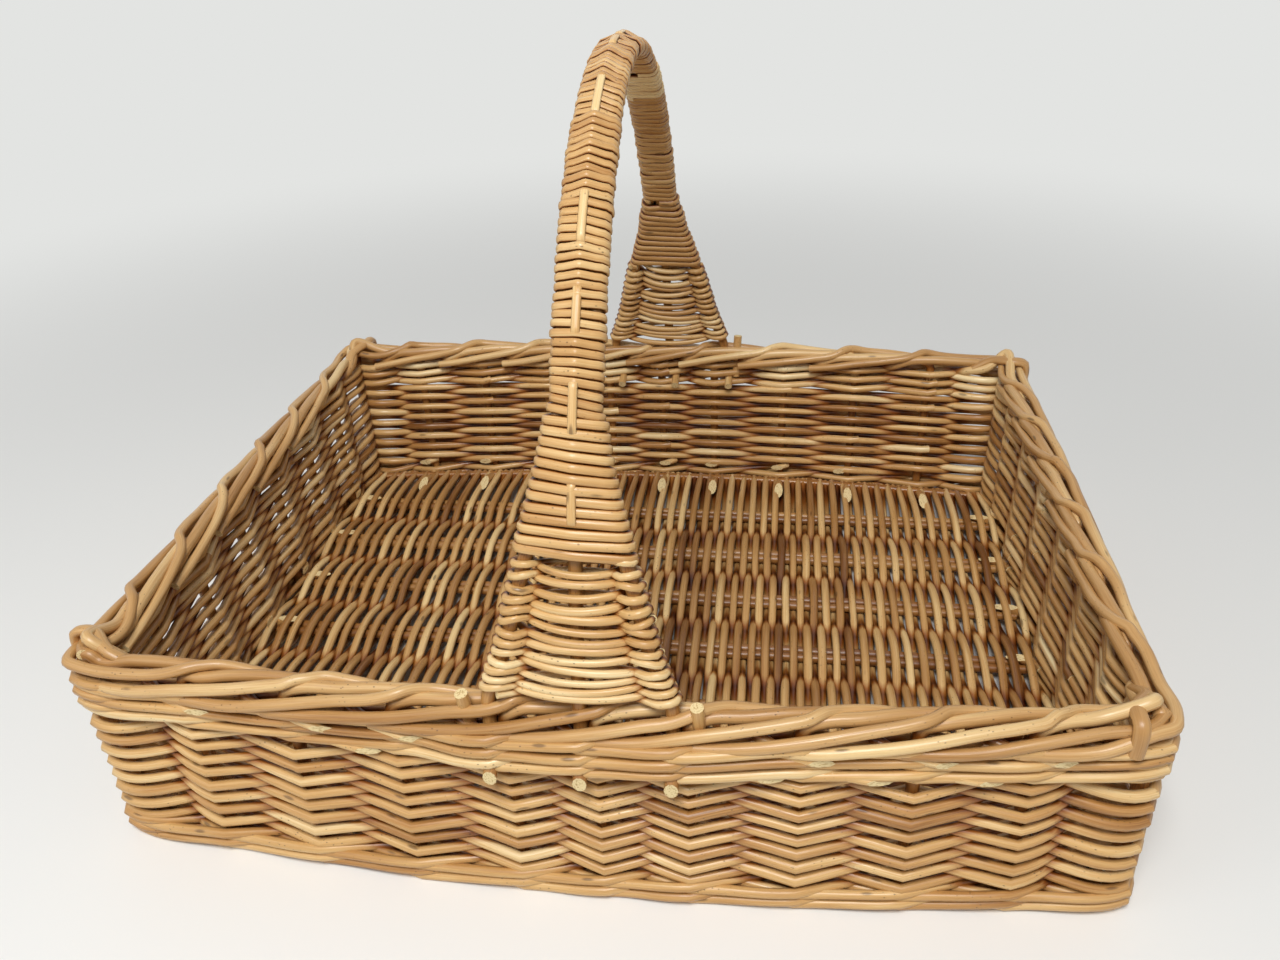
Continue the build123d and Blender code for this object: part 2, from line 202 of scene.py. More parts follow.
class RodMesh:
    """Gathers rods into one mesh, with what their finish reads.

    That is the rods' tone and grain, their cut ends, and how open each corner lies: 1 where
    a rod stands out, and 0 deep between its neighbours, where the finish paints shade.

    Attributes:
        wood_reach: Length of the wood that rods are cut from, in millimetres, so that no two
            show the same marks.
        packed_power: Power that squares the rounded section of a packed rod.
    """

    wood_reach: float = 1e4
    packed_power: float = 0.5

    def __init__(self, name: str, sides: int = 8, seed: int = 1,
                 openness: Callable[[np.ndarray], np.ndarray] | None = None) -> None:
        """Start an empty mesh.

        Args:
            name: Name of the piece.
            sides: Flat sides to a rod.
            seed: Start of its own row of random numbers.
            openness: How open places lie, given their coordinates.
        """
        self.name = name
        self.sides = sides
        self.openness = openness
        self.random = np.random.default_rng(seed)
        self.corners: list[np.ndarray] = []
        self.grain: list[np.ndarray] = []
        self.tone: list[np.ndarray] = []
        self.cut: list[np.ndarray] = []
        self.open: list[np.ndarray] = []
        self.quads: list[np.ndarray] = []
        self.fans: list[np.ndarray] = []
        self.count = 0

    def keep(self, corners: np.ndarray, grain: np.ndarray, tone: float, cut: float,
             crown: np.ndarray | None = None) -> int:
        """Add corners that share a tone.

        Args:
            corners: Their places, in millimetres.
            grain: Their places in the rod's own wood.
            tone: The rod's tone.
            cut: 1 on a cut face, else 0.
            crown: How open each lies for the rod's own neighbours, or None if it is open.

        Returns:
            The number of the first corner.
        """
        first = self.count
        self.corners.append(corners)
        self.grain.append(grain)
        self.tone.append(np.full(len(corners), tone))
        self.cut.append(np.full(len(corners), cut))
        wholly = np.ones(len(corners)) if crown is None else crown
        # Openness sets how much painted shade the finish lays on each corner.
        self.open.append(wholly if self.openness is None else wholly * self.openness(corners))
        self.count += len(corners)
        return first

    def add(self, rod: Rod, first: int = 0, last: int | None = None) -> None:
        """Add a rod, or the stretch of it from one sample to another.

        Args:
            rod: The rod.
            first: Number of the stretch's first sample.
            last: Number of its last sample, or None for the rod's end.
        """
        if End.SLYPE in rod.ends:
            rod = rod.without_cut_samples()
        line = np.asarray(rod.line, float)
        final = len(line) - 1 if last is None else last
        across, top = carried_frame(line, np.asarray(rod.facing, float))
        half = np.broadcast_to(np.asarray(rod.thickness, float) / 2, len(line))
        turn = 2 * math.pi * np.arange(self.sides) / self.sides
        wide = (half * rod.width)[:, None] * np.cos(turn)
        rise = np.sin(turn)
        if rod.packed:
            rise = np.sign(rise) * np.abs(rise)**self.packed_power
        high = half[:, None] * rise
        rings = line[:, None] + across[:, None] * wide[..., None] + top[:, None] * high[..., None]
        lengths = np.linalg.norm(np.diff(line, axis=0), axis=1)
        along = np.concatenate([[0.0], np.cumsum(lengths)])
        along += self.random.uniform(0, self.wood_reach)
        grain = np.stack([np.broadcast_to(along[:, None], wide.shape), wide, high], axis=-1)
        for number, end in ((0, rod.ends[0]), (len(line) - 1, rod.ends[1])):
            if end is End.SLYPE:
                way = unit(np.gradient(line, axis=0))[number] * (1 if number else -1)
                rings[number] -= way * (high[number] + half[number])[:, None] * rod.slant
        stretch = slice(first, final + 1)
        # Painted shade: a packed rod's sides and underside count as closed, so the finish darkens
        # them; only the crown stays open.
        crown = np.tile(np.clip(np.sin(turn), 0, 1), final + 1 - first) if rod.packed else None
        start = self.keep(rings[stretch].reshape(-1, 3), grain[stretch].reshape(-1, 3),
                          rod.tone, 0, crown)
        around = np.arange(self.sides)
        low = start + self.sides * np.arange(final - first)[:, None] + around
        beside = low - around + np.roll(around, -1)
        self.quads.append(np.stack([low, beside, beside + self.sides, low + self.sides],
                                   axis=-1).reshape(-1, 4))
        if first == 0:
            self.cap(rings[0][::-1], grain[0][::-1], rod.tone)
        if final == len(line) - 1:
            self.cap(rings[-1], grain[-1], rod.tone)

    def cap(self, ring: np.ndarray, grain: np.ndarray, tone: float) -> None:
        """Close a rod with a cut face.

        Args:
            ring: Corners of the face, counter-clockwise seen from outside.
            grain: The same corners in the rod's wood.
            tone: The rod's tone.
        """
        start = self.keep(np.vstack([ring, ring.mean(0)]), np.vstack([grain, grain.mean(0)]),
                          tone, 1)
        around = np.arange(self.sides)
        self.fans.append(np.stack([start + around, start + np.roll(around, -1),
                                   np.full(self.sides, start + self.sides)], axis=-1))

    def build(self, material: Material, slot: str, *nodes: str) -> Object:
        """Make the object, dress it and let it stand for CAD nodes.

        Args:
            material: Its finish.
            slot: Not used.
            nodes: The CAD nodes that it stands for.

        Returns:
            The new object, which rides on the basket.
        """
        mesh = bpy.data.meshes.new(self.name)
        corners = np.vstack(self.corners) * MM
        quads = np.vstack(self.quads)
        fans = np.vstack(self.fans) if self.fans else np.zeros((0, 3), int)
        mesh.vertices.add(len(corners))
        mesh.vertices.foreach_set("co", corners.astype(np.float32).ravel())
        loops = np.concatenate([quads.ravel(), fans.ravel()])
        mesh.loops.add(len(loops))
        mesh.loops.foreach_set("vertex_index", loops.astype(np.int32))
        sizes = np.concatenate([np.full(len(quads), 4), np.full(len(fans), 3)])
        mesh.polygons.add(len(sizes))
        starts = np.concatenate([[0], np.cumsum(sizes)[:-1]])
        mesh.polygons.foreach_set("loop_start", starts.astype(np.int32))
        mesh.polygons.foreach_set("use_smooth", np.ones(len(sizes), bool))
        mesh.update(calc_edges=True)
        for name, kind, values in (
                ("tone", "FLOAT", np.concatenate(self.tone)),
                ("cut", "FLOAT", np.concatenate(self.cut)),
                ("open", "FLOAT", np.concatenate(self.open)),
                ("grain", "FLOAT_VECTOR", np.vstack(self.grain) * MM)):
            attribute = mesh.attributes.new(name, kind, "POINT")
            key = "vector" if kind == "FLOAT_VECTOR" else "value"
            attribute.data.foreach_set(key, values.astype(np.float32).ravel())
        mesh.materials.append(material)
        piece = bpy.data.objects.new(self.name, mesh)
        bpy.context.scene.collection.objects.link(piece)
        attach(piece, "root")
        if nodes:
            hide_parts(*nodes)
        log.info("%s: %d corners, stands for %s", self.name, len(corners), ", ".join(nodes))
        return piece


# Finishes

def linear(code: str) -> tuple[float, float, float, float]:
    """Turn an sRGB hex colour into Blender's linear colour.

    Args:
        code: The colour, such as "c8a064".

    Returns:
        Red, green, blue and an alpha of 1.
    """
    shares = [int(code[place:place + 2], 16) / 255 for place in (0, 2, 4)]
    red, green, blue = (share / 12.92 if share <= 0.04045 else ((share + 0.055) / 1.055)**2.4
                        for share in shares)
    return red, green, blue, 1.0


def add_node(tree: NodeTree, kind: str, settings: dict[str, object] | None = None,
             inputs: dict[str | int, object] | None = None) -> Node:
    """Add a node to a tree.

    Args:
        tree: The tree.
        kind: The node's type.
        settings: Values of its properties.
        inputs: For each input, by name or number, the socket that feeds it or its value.

    Returns:
        The new node.
    """
    node = tree.nodes.new(kind)
    for name, value in (settings or {}).items():
        setattr(node, name, value)
    for name, value in (inputs or {}).items():
        if isinstance(value, NodeSocket):
            tree.links.new(value, node.inputs[name])
        else:
            node.inputs[name].default_value = value
    return node


def set_stops(node: Node, stops: Sequence[tuple[float, str]]) -> None:
    """Give a colour ramp its stops.

    Args:
        node: The colour ramp.
        stops: Place and sRGB hex colour of each.
    """
    elements = node.color_ramp.elements
    while len(elements) < len(stops):
        elements.new(0.5)
    for element, (place, code) in zip(elements, stops):
        element.position = place
        element.color = linear(code)


@dataclass(frozen=True)
class Marks:
    """Marks that repeat in the wood of a rod, at their real size.

    Attributes:
        length: Length of a mark along the rod, in millimetres.
        width: Its width across the rod.
        texture: Type of the node that draws the marks.
        inputs: Names and values of that node's other inputs.
        fade: Values of the texture between which a mark comes or goes.
    """

    length: float
    width: float
    texture: str = "ShaderNodeTexNoise"
    inputs: tuple[tuple[str, float], ...] = ()
    fade: tuple[float, float] = (0.3, 0.7)

    def draw(self, tree: NodeTree, grain: NodeSocket) -> NodeSocket:
        """Draw the marks in the node tree of a finish.

        Args:
            tree: The tree.
            grain: Place in the rod's wood: along it, across it and out of it.

        Returns:
            The texture's value.
        """
        along, across = 1 / (self.length * MM), 1 / (self.width * MM)
        placed = add_node(tree, "ShaderNodeVectorMath", {"operation": "MULTIPLY"},
                          {0: grain, 1: (along, across, across)})
        drawn = add_node(tree, self.texture, {},
                         {"Vector": placed.outputs[0], "Scale": 1.0, **dict(self.inputs)})
        return drawn.outputs[0]

    def fading(self, drawn: NodeSocket, start: float, end: float) -> dict[str, object]:
        """Say how the marks' value turns into another range.

        Args:
            drawn: The texture's value.
            start: What it gives where the fade starts.
            end: What it gives where the fade ends.

        Returns:
            Inputs of a Map Range node.
        """
        return {"Value": drawn, "From Min": self.fade[0], "From Max": self.fade[1],
                "To Min": start, "To Max": end}


@dataclass(frozen=True)
class BuffWillow:
    """Buff willow, boiled in its bark and then stripped.

    Boiling lets the bark's tannin colour the wood golden tan, and the bare rod keeps a satin
    skin with fine streaks along it, bud scars, and pale pith where it is cut. Its real specks,
    about 0.3 mm wide, wouldn't show in the render, so they are drawn coarser.

    Attributes:
        name: Name of the material.
        tones: sRGB hex colours from the palest rod to the brownest.
        roughness: Roughness of the skin.
        shade_tints: sRGB hex colours of the painted shade laid over the wood, deep between the
            rods and halfway out.
        shade_reach: How open a place is where the painted shade ends.
        dirt: sRGB hex colour of specks and bud scars.
        dirt_share: How much of it covers the wood there.
        pith: sRGB hex colours of a cut face, in its fibres and between them.
        streaks: Fine streaks in the skin.
        streak_swing: How far they carry a rod's tone.
        drift: Slow changes of tone along a rod.
        drift_swing: How far they carry it.
        specks: Dark specks.
        patches: Stretches of a rod that have specks.
        scars: Bud scars.
        fibres: Fibres of a cut face.
        ior: Index of refraction of the skin.
    """

    name: str
    tones: tuple[str, str, str, str] = ("efd8a6", "d2a96d", "b07f46", "77491e")
    roughness: float = 0.34
    shade_tints: tuple[str, str] = ("6a4018", "b98d58")
    shade_reach: float = 0.37
    dirt: str = "3f2512"
    dirt_share: float = 0.6
    pith: tuple[str, str] = ("b8975f", "e6d09c")
    streaks: Marks = Marks(length=28.0, width=0.7, inputs=(("Detail", 3.0), ("Roughness", 0.6)))
    streak_swing: float = 0.13
    drift: Marks = Marks(length=95.0, width=7.0, inputs=(("Detail", 1.0),))
    drift_swing: float = 0.16
    specks: Marks = Marks(length=3.4, width=2.2, texture="ShaderNodeTexVoronoi",
                          fade=(0.10, 0.20))
    patches: Marks = Marks(length=60.0, width=30.0, inputs=(("Detail", 0.0),),
                           fade=(0.48, 0.62))
    scars: Marks = Marks(length=34.0, width=9.0, texture="ShaderNodeTexVoronoi",
                         fade=(0.07, 0.13))
    fibres: Marks = Marks(length=1.0, width=0.8, inputs=(("Detail", 2.0),))
    ior: float = 1.5

    def make(self) -> Material:
        """Build the material.

        Returns:
            The material, which reads the tone, cut, openness and grain of a rod mesh.
        """
        rough_range = (0.07, 0.09)
        cut_roughness = 0.3
        pith_places = (0.3, 0.5)
        relief = (0.5, -0.6)
        bump_strength = 0.55
        bump_depth = 0.35
        material = bpy.data.materials.new(self.name)
        material.use_nodes = True
        tree = material.node_tree
        tree.nodes.clear()
        add = partial(add_node, tree)
        grain = add("ShaderNodeAttribute", {"attribute_name": "grain"}).outputs["Vector"]
        cut = add("ShaderNodeAttribute", {"attribute_name": "cut"}).outputs["Fac"]
        streaks = self.streaks.draw(tree, grain)
        dirt = self.soiled(tree, grain)

        clean = self.toned(tree, grain, streaks)
        soiled = add("ShaderNodeMix", {"data_type": "RGBA"},
                     {0: dirt, 6: clean, 7: linear(self.dirt)})
        # Painted shade: the skin is multiplied brown where rods lie deep between their neighbours.
        skin = add("ShaderNodeMix", {"data_type": "RGBA", "blend_type": "MULTIPLY"},
                   {0: 1.0, 6: soiled.outputs[2], 7: self.painted_shade(tree)})
        ends = add("ShaderNodeValToRGB", {}, {0: self.fibres.draw(tree, grain)})
        set_stops(ends, list(zip(pith_places, self.pith)))
        colour = add("ShaderNodeMix", {"data_type": "RGBA"},
                     {0: cut, 6: skin.outputs[2], 7: ends.outputs[0]})

        smoother, rougher = rough_range
        rough = add("ShaderNodeMapRange", {}, self.streaks.fading(
            streaks, self.roughness - smoother, self.roughness + rougher))
        sawn = add("ShaderNodeMath", {"operation": "MULTIPLY"}, {0: cut, 1: cut_roughness})
        worn = add("ShaderNodeMath", {"operation": "ADD", "use_clamp": True},
                   {0: rough.outputs[0], 1: sawn.outputs[0]})
        raised = add("ShaderNodeMath", {"operation": "MULTIPLY"}, {0: streaks, 1: relief[0]})
        sunken = add("ShaderNodeMath", {"operation": "MULTIPLY"}, {0: dirt, 1: relief[1]})
        height = add("ShaderNodeMath", {"operation": "ADD"},
                     {0: raised.outputs[0], 1: sunken.outputs[0]})
        bump = add("ShaderNodeBump", {}, {"Strength": bump_strength,
                                          "Distance": bump_depth * MM,
                                          "Height": height.outputs[0]})
        shader = add("ShaderNodeBsdfPrincipled", {},
                     {"Base Color": colour.outputs[2], "Roughness": worn.outputs[0],
                      "IOR": self.ior, "Normal": bump.outputs[0]})
        add("ShaderNodeOutputMaterial", {}, {"Surface": shader.outputs[0]})
        return material

    def toned(self, tree: NodeTree, grain: NodeSocket, streaks: NodeSocket) -> NodeSocket:
        """Colour the clean skin by the rod's tone, which drifts along it and in its streaks.

        Args:
            tree: The finish's node tree.
            grain: Place in the rod's wood.
            streaks: Value of the streaks' texture.

        Returns:
            The colour.
        """
        tone_places = (0.0, 0.35, 0.7, 1.0)
        add = partial(add_node, tree)
        tone = add("ShaderNodeAttribute", {"attribute_name": "tone"})
        drift = add("ShaderNodeMapRange", {}, self.drift.fading(
            self.drift.draw(tree, grain), -self.drift_swing, self.drift_swing))
        wavered = add("ShaderNodeMath", {"operation": "ADD"},
                      {0: tone.outputs["Fac"], 1: drift.outputs[0]})
        fine = add("ShaderNodeMapRange", {}, self.streaks.fading(
            streaks, -self.streak_swing, self.streak_swing))
        shaded = add("ShaderNodeMath", {"operation": "ADD", "use_clamp": True},
                     {0: wavered.outputs[0], 1: fine.outputs[0]})
        ramp = add("ShaderNodeValToRGB", {}, {0: shaded.outputs[0]})
        set_stops(ramp, list(zip(tone_places, self.tones)))
        return ramp.outputs[0]

    def soiled(self, tree: NodeTree, grain: NodeSocket) -> NodeSocket:
        """Lay specks in patches, and bud scars, on the skin.

        Args:
            tree: The finish's node tree.
            grain: Place in the rod's wood.

        Returns:
            How much dirt covers the wood.
        """
        add = partial(add_node, tree)
        specks = add("ShaderNodeMapRange", {}, self.specks.fading(
            self.specks.draw(tree, grain), self.dirt_share, 0.0))
        patches = add("ShaderNodeMapRange", {}, self.patches.fading(
            self.patches.draw(tree, grain), 0.0, 1.0))
        speckled = add("ShaderNodeMath", {"operation": "MULTIPLY"},
                       {0: specks.outputs[0], 1: patches.outputs[0]})
        scarred = add("ShaderNodeMapRange", {}, self.scars.fading(
            self.scars.draw(tree, grain), self.dirt_share, 0.0))
        dirt = add("ShaderNodeMath", {"operation": "MAXIMUM"},
                   {0: speckled.outputs[0], 1: scarred.outputs[0]})
        return dirt.outputs[0]

    def painted_shade(self, tree: NodeTree) -> NodeSocket:
        """Tint the skin with painted shade, brown deep between the rods.

        Args:
            tree: The finish's node tree.

        Returns:
            The tint, white where the rods lie open.
        """
        shade_shares = (0.1, 0.5)
        opened = add_node(tree, "ShaderNodeAttribute", {"attribute_name": "open"})
        shade_ramp = add_node(tree, "ShaderNodeValToRGB", {}, {0: opened.outputs["Fac"]})
        stops = [(self.shade_reach * share, code)
                 for share, code in zip(shade_shares, self.shade_tints)]
        set_stops(shade_ramp, stops + [(self.shade_reach, "ffffff")])
        return shade_ramp.outputs[0]


# Plan of the basket

@dataclass(frozen=True)
class Wall:
    """One side of the basket: the line of its stakes from one corner post to the next.

    Attributes:
        name: front, right, back or left.
        start: Place of its first post.
        along: Way from its first post to its last.
        outward: Way out of the basket.
        length: From post to post.
        bow: How far its middle stands out.
        stations: Distance of each post and stake from the first post.
        first: Station of its first post, counted round the basket.
    """

    name: str
    start: np.ndarray
    along: np.ndarray
    outward: np.ndarray
    length: float
    bow: float
    stations: tuple[float, ...]
    first: int

    def bulge(self, distance: float | np.ndarray) -> float | np.ndarray:
        """How far the wall stands out at a distance from its first post."""
        return self.bow * (1 - (2 * distance / self.length - 1)**2)

    def place(self, distance: float, outward: float, height: float) -> np.ndarray:
        """A point so far along the bowed wall, outward from its middle, and up."""
        out = self.bulge(distance) + outward
        return self.start + self.along * distance + self.outward * out + UP * height

    def stakes(self) -> tuple[float, ...]:
        """Distances of its stakes from the first post."""
        return self.stations[1:-1]


@dataclass
class Plan:
    """Where posts and stakes stand, read from the frame.

    Attributes:
        post_diameter: Thickness of a corner post.
        stake_diameter: Thickness of a stake.
        leg_pitch: From one leg of the handle to the next.
        leg_beside: From a leg to the stake that it stands beside.
        stakes_beside_handle: Stakes between the handle and a corner.
        short_stakes: Stakes of a short wall.
        flat_share: Half width of a six-sided bar across its flats, against its corners.
    """

    post_diameter: float = 8.0
    stake_diameter: float = 7.0
    leg_pitch: float = 45.0
    leg_beside: float = 7.3
    stakes_beside_handle: int = 3
    short_stakes: int = 6
    flat_share: float = math.cos(math.pi / 6)

    def __post_init__(self) -> None:
        """Read the frame and lay out the four walls."""
        post_radius, stake_radius = self.post_diameter / 2, self.stake_diameter / 2
        posts = high_corner("corner_posts")
        self.half_length = posts[0] - post_radius
        self.half_depth = posts[1] - post_radius * self.flat_share
        self.wall_top = posts[2]
        long_bow = high_corner("back_stakes")[1] - self.half_depth \
            - stake_radius * self.flat_share
        short_bow = high_corner("right_stakes")[0] - self.half_length - stake_radius
        length, depth = 2 * self.half_length, 2 * self.half_depth
        long, short = self.long_stations(length), self.short_stations(depth)
        self.half_ring = len(long) + len(short) - 2
        self.stations = 2 * self.half_ring
        layout = (("front", -1, -1, AHEAD, -ASIDE, length, long_bow, long, 0),
                  ("right", 1, -1, ASIDE, AHEAD, depth, short_bow, short, len(long) - 1),
                  ("back", 1, 1, -AHEAD, ASIDE, length, long_bow, long, self.half_ring),
                  ("left", -1, 1, -ASIDE, -AHEAD, depth, short_bow, short,
                   self.half_ring + len(long) - 1))
        self.walls = [
            Wall(name, np.array((self.half_length * x, self.half_depth * y, 0.0)), along,
                 outward, size, bow, tuple(stations), first)
            for name, x, y, along, outward, size, bow, stations, first in layout]

    def long_stations(self, length: float) -> list[float]:
        """Lay out a long wall, with three stakes beside the legs of the handle.

        Args:
            length: From post to post.

        Returns:
            Distance of each post and stake from the first post.
        """
        legs = [self.half_length + self.leg_beside + self.leg_pitch * side for side in (-1, 0, 1)]
        count = self.stakes_beside_handle
        before, after = legs[0] / (count + 1), (length - legs[-1]) / (count + 1)
        return [0.0] + [before * number for number in range(1, count + 1)] + legs \
            + [legs[-1] + after * number for number in range(1, count + 1)] + [length]

    def short_stations(self, depth: float) -> list[float]:
        """Posts and evenly spaced stakes of a short wall, as distances from the first post."""
        gap = depth / (self.short_stakes + 1)
        return [gap * number for number in range(self.short_stakes + 2)]

    def wall_at(self, station: float) -> Wall:
        """The wall that a station is on."""
        return [wall for wall in self.walls if wall.first <= station % self.stations][-1]

    def is_post(self, station: int) -> bool:
        """Whether a corner post stands at a station."""
        return any(wall.first == station % self.stations for wall in self.walls)

    def place(self, station: float, outward: float, height: float) -> np.ndarray:
        """A point at a station, outward from the wall's middle, and up.

        Args:
            station: Counted round the basket, with shares between two stakes.
            outward: Distance out of the wall's middle.
            height: Height above the ground.

        Returns:
            The point, in millimetres.
        """
        wall = self.wall_at(station)
        local = station % self.stations - wall.first
        number = int(local)
        share = local - number
        if number == 0 and share == 0:
            return wall.start - wall.along * outward + wall.outward * outward + UP * height
        before, after = wall.stations[number], wall.stations[number + 1]
        return wall.place(before + (after - before) * share, outward, height)

    def gap(self, station: int) -> float:
        """Measure how far apart stakes stand.

        Args:
            station: A stake.

        Returns:
            Mean distance from it to its two neighbours.
        """
        wall = self.wall_at(station)
        number = station % self.stations - wall.first
        return (wall.stations[number + 1] - wall.stations[number - 1]) / 2

    def off_wall(self, places: np.ndarray) -> np.ndarray:
        """Measure how far places lie from the middle of the wall nearest to them.

        Args:
            places: Their coordinates.

        Returns:
            The distances, in millimetres.
        """
        nearest = np.full(len(places), np.inf)
        for wall in self.walls:
            local = places - wall.start
            run, out = local @ wall.along, local @ wall.outward
            beside = np.maximum(np.maximum(-run, run - wall.length), 0)
            nearest = np.minimum(nearest, np.hypot(out - wall.bulge(run), beside))
        return nearest

    def openness(self, depth: float) -> Callable[[np.ndarray], np.ndarray]:
        """A function of places: 0 in a wall's middle and 1 at a depth in or out of it."""
        return lambda places: np.clip(self.off_wall(places) / depth, 0, 1)

    def leg_stations(self) -> list[int]:
        """Stations of the stakes that a leg of the handle stands beside."""
        first = self.stakes_beside_handle + 1
        return [start + number for start in (first, first + self.half_ring) for number in range(3)]


# Walls

@dataclass
class RoundRow:
    """One row of weaving that goes once round the basket.

    Attributes:
        outside: For each station, whether the row passes it on the outside.
        heights: For each station, the height of the row's middle.
        lifts: For each station, how much farther out than its stake the row passes.
        diameter: Thickness of its rods.
        rods: Rods in the row.
    """

    outside: list[bool]
    heights: list[float]
    lifts: list[float]
    diameter: float
    rods: int = 2


class Level(Enum):
    """A height in the walls, read from the frame."""

    RANDING_START = "top of the bottom wale"
    RANDING_END = "foot of the top wale"
    WALL_TOP = "top of the top wale"


@dataclass(frozen=True)
class Tails:
    """The slanting rod ends that a wale leaves on one side of the walls.

    Attributes:
        level: The height that they follow.
        above: Height of their middle over it.
        side: 1 outside the walls, and -1 inside.
        share: Share of the stakes that have one.
        shift: How far past its stake each lies.
        lengths: Their length, or the shortest and the longest.
        fall: How steeply their tips fall along the wall.
        sunk: How much deeper than the row's crown the hidden end lies.
        thickness: Thickness of the rods.
        slant: Length of the slanting cut, against that.
    """

    level: Level
    above: float
    side: int
    share: float
    shift: float
    lengths: tuple[float, ...]
    fall: float
    sunk: float
    thickness: float
    slant: float


@dataclass
class Walls:
    """The four walls: stakes, posts, and the rods woven round them.

    A pair of tones is the mean tone of some rods, and how far they stray from it.

    Attributes:
        plan: Where the stakes stand.
        weaver_diameter: Mean thickness of a weaver.
        randing_rows: Rows of plain over and under weaving.
        dip: How far a row is beaten down where it passes outside a stake.
        kink: Half the stretch that a rod takes to bend round a stake.
        post_turn: Half the stretch that it takes round a post outside, against the gap there.
        shoulder_turn: The same inside.
        shoulder_share: How near the post a row stays there, against its reach.
        leg_room: How much farther out a row passes a leg of the handle.
        wale_rounds: Rounds of three rod wale, below and above the randing. The last one
            above lies in the hollow under the border.
        wale_rise: How far a wale's stroke climbs over the next ones.
        wale_climbs: Shares of that rise where a strand passes inside a stake, and outside the
            first and the second.
        wale_lifts: How much farther out it passes there.
        border_seat: How far the top wale reaches up into the hollow under the border.
        joint_step: How far the ends of two joined rods lie above and below the row.
        tails: The slanting ends that show.
        tail_end: How far past its middle its tip lies.
        tail_hump: How high it passes over the row there.
        tail_crown: How far its tip stands over the crown.
        step: Distance between samples of a woven rod.
        jitter: How far rods stray from their rows.
        seed: Start of the random numbers.
    """

    plan: Plan
    weaver_diameter: float = 5.6
    randing_rows: int = 16
    dip: float = 3.1
    kink: float = 6.5
    post_turn: float = 0.12
    shoulder_turn: float = 0.2
    shoulder_share: float = 0.8
    leg_room: float = 5.25
    wale_rounds: tuple[int, int] = (2, 3)
    wale_rise: float = 4.4
    wale_climbs: tuple[float, float, float] = (0.5, 0.05, 0.95)
    wale_lifts: tuple[float, float, float] = (0.0, 0.0, 1.9)
    border_seat: float = 7.5
    joint_step: float = 0.9
    tails: tuple[Tails, ...] = (
        Tails(Level.WALL_TOP, above=-2.5, side=1, share=1.0, shift=15.0, lengths=(20, 28),
              fall=0.4, sunk=3.0, thickness=4.6, slant=2.8),
        Tails(Level.RANDING_END, above=3.0, side=1, share=0.9, shift=-12.0, lengths=(20, 28),
              fall=0.2, sunk=3.0, thickness=4.6, slant=2.8),
        Tails(Level.RANDING_START, above=3.5, side=-1, share=0.95, shift=4.0, lengths=(9.0,),
              fall=0.1, sunk=7.0, thickness=5.2, slant=1.8))
    tail_end: float = 4
    tail_hump: float = 0.6
    tail_crown: float = 1.1
    step: float = 5.5
    jitter: float = 0.35
    seed: int = 11

    def __post_init__(self) -> None:
        """Read the heights of the wales from the frame."""
        self.random = np.random.default_rng(self.seed)
        self.heights = {Level.RANDING_START: high_corner("front_bottom_wale")[2],
                        Level.RANDING_END: low_corner("front_top_wale")[2],
                        Level.WALL_TOP: high_corner("front_top_wale")[2]}

    def line(self, row: RoundRow) -> tuple[np.ndarray, np.ndarray]:
        """Lead a row round the basket.

        Args:
            row: The row.

        Returns:
            Samples of its middle, and the station of each.
        """
        plan = self.plan
        points: list[np.ndarray] = []
        stations: list[float] = []
        for station in range(plan.stations):
            height = row.heights[station] + self.random.normal(0, self.jitter)
            squeeze = self.random.normal(0, self.jitter)
            passed = self.round_post(row, station, height) if plan.is_post(station) \
                else self.past_stake(row, station, height, squeeze)
            for point, place in passed:
                points.append(point)
                stations.append(place)
        line, places = smooth_line(points, self.step, closed=True)
        stations.append(float(plan.stations) + stations[0])
        return line, np.interp(places, np.arange(len(stations)), stations)

    def round_post(self, row: RoundRow, post: int,
                   height: float) -> Iterable[tuple[np.ndarray, float]]:
        """Turn a row at a corner post.

        Args:
            row: The row.
            post: Station of the post.
            height: Height of the row there.

        Yields:
            Each point that it passes, and its station.
        """
        before, after = self.plan.wall_at(post - 1), self.plan.wall_at(post)
        reach = self.plan.post_diameter / 2 + row.diameter / 2 + row.lifts[post]
        ways = (before.outward, unit(before.outward + after.outward), after.outward)
        if row.outside[post]:
            for turn, way in zip((-self.post_turn, 0.0, self.post_turn), ways):
                yield after.start + way * reach + UP * height, post + turn
            return
        shoulder = 2 * self.kink
        slides = (before.along * -shoulder, before.along * 0.0, after.along * shoulder)
        for side, way, slide in zip((-1, 0, 1), ways, slides):
            inward = way * reach * (self.shoulder_share if side else 1)
            yield after.start - inward + slide + UP * height, post + self.shoulder_turn * side

    def past_stake(self, row: RoundRow, station: int, height: float,
                   squeeze: float) -> Iterable[tuple[np.ndarray, float]]:
        """Take a row past a stake, outside it or inside.

        Args:
            row: The row.
            station: The stake.
            height: Height of the row there.
            squeeze: How much farther out it strays.

        Yields:
            Each point that it passes, and its station.
        """
        plan = self.plan
        wall = plan.wall_at(station)
        side = 1 if row.outside[station] else -1
        reach = plan.stake_diameter / 2 + row.diameter / 2 + row.lifts[station] + squeeze
        distance = wall.stations[station - wall.first]
        in_top_wale = height > self.heights[Level.RANDING_END]
        if in_top_wale and side > 0 and station in plan.leg_stations():
            reach += self.leg_room
            distance -= plan.leg_beside
        gap = plan.gap(station)
        after = (station + 1) % plan.stations
        for offset, beside in ((-self.kink, station - 1), (0.0, station), (self.kink, after)):
            same = row.outside[beside] == row.outside[station]
            share = 1 if same else 1 - 2 * self.kink / gap
            climb = (row.heights[beside] - row.heights[station]) * self.kink / gap
            yield (wall.place(distance + offset, side * reach * share, height + climb),
                   station + offset / gap)

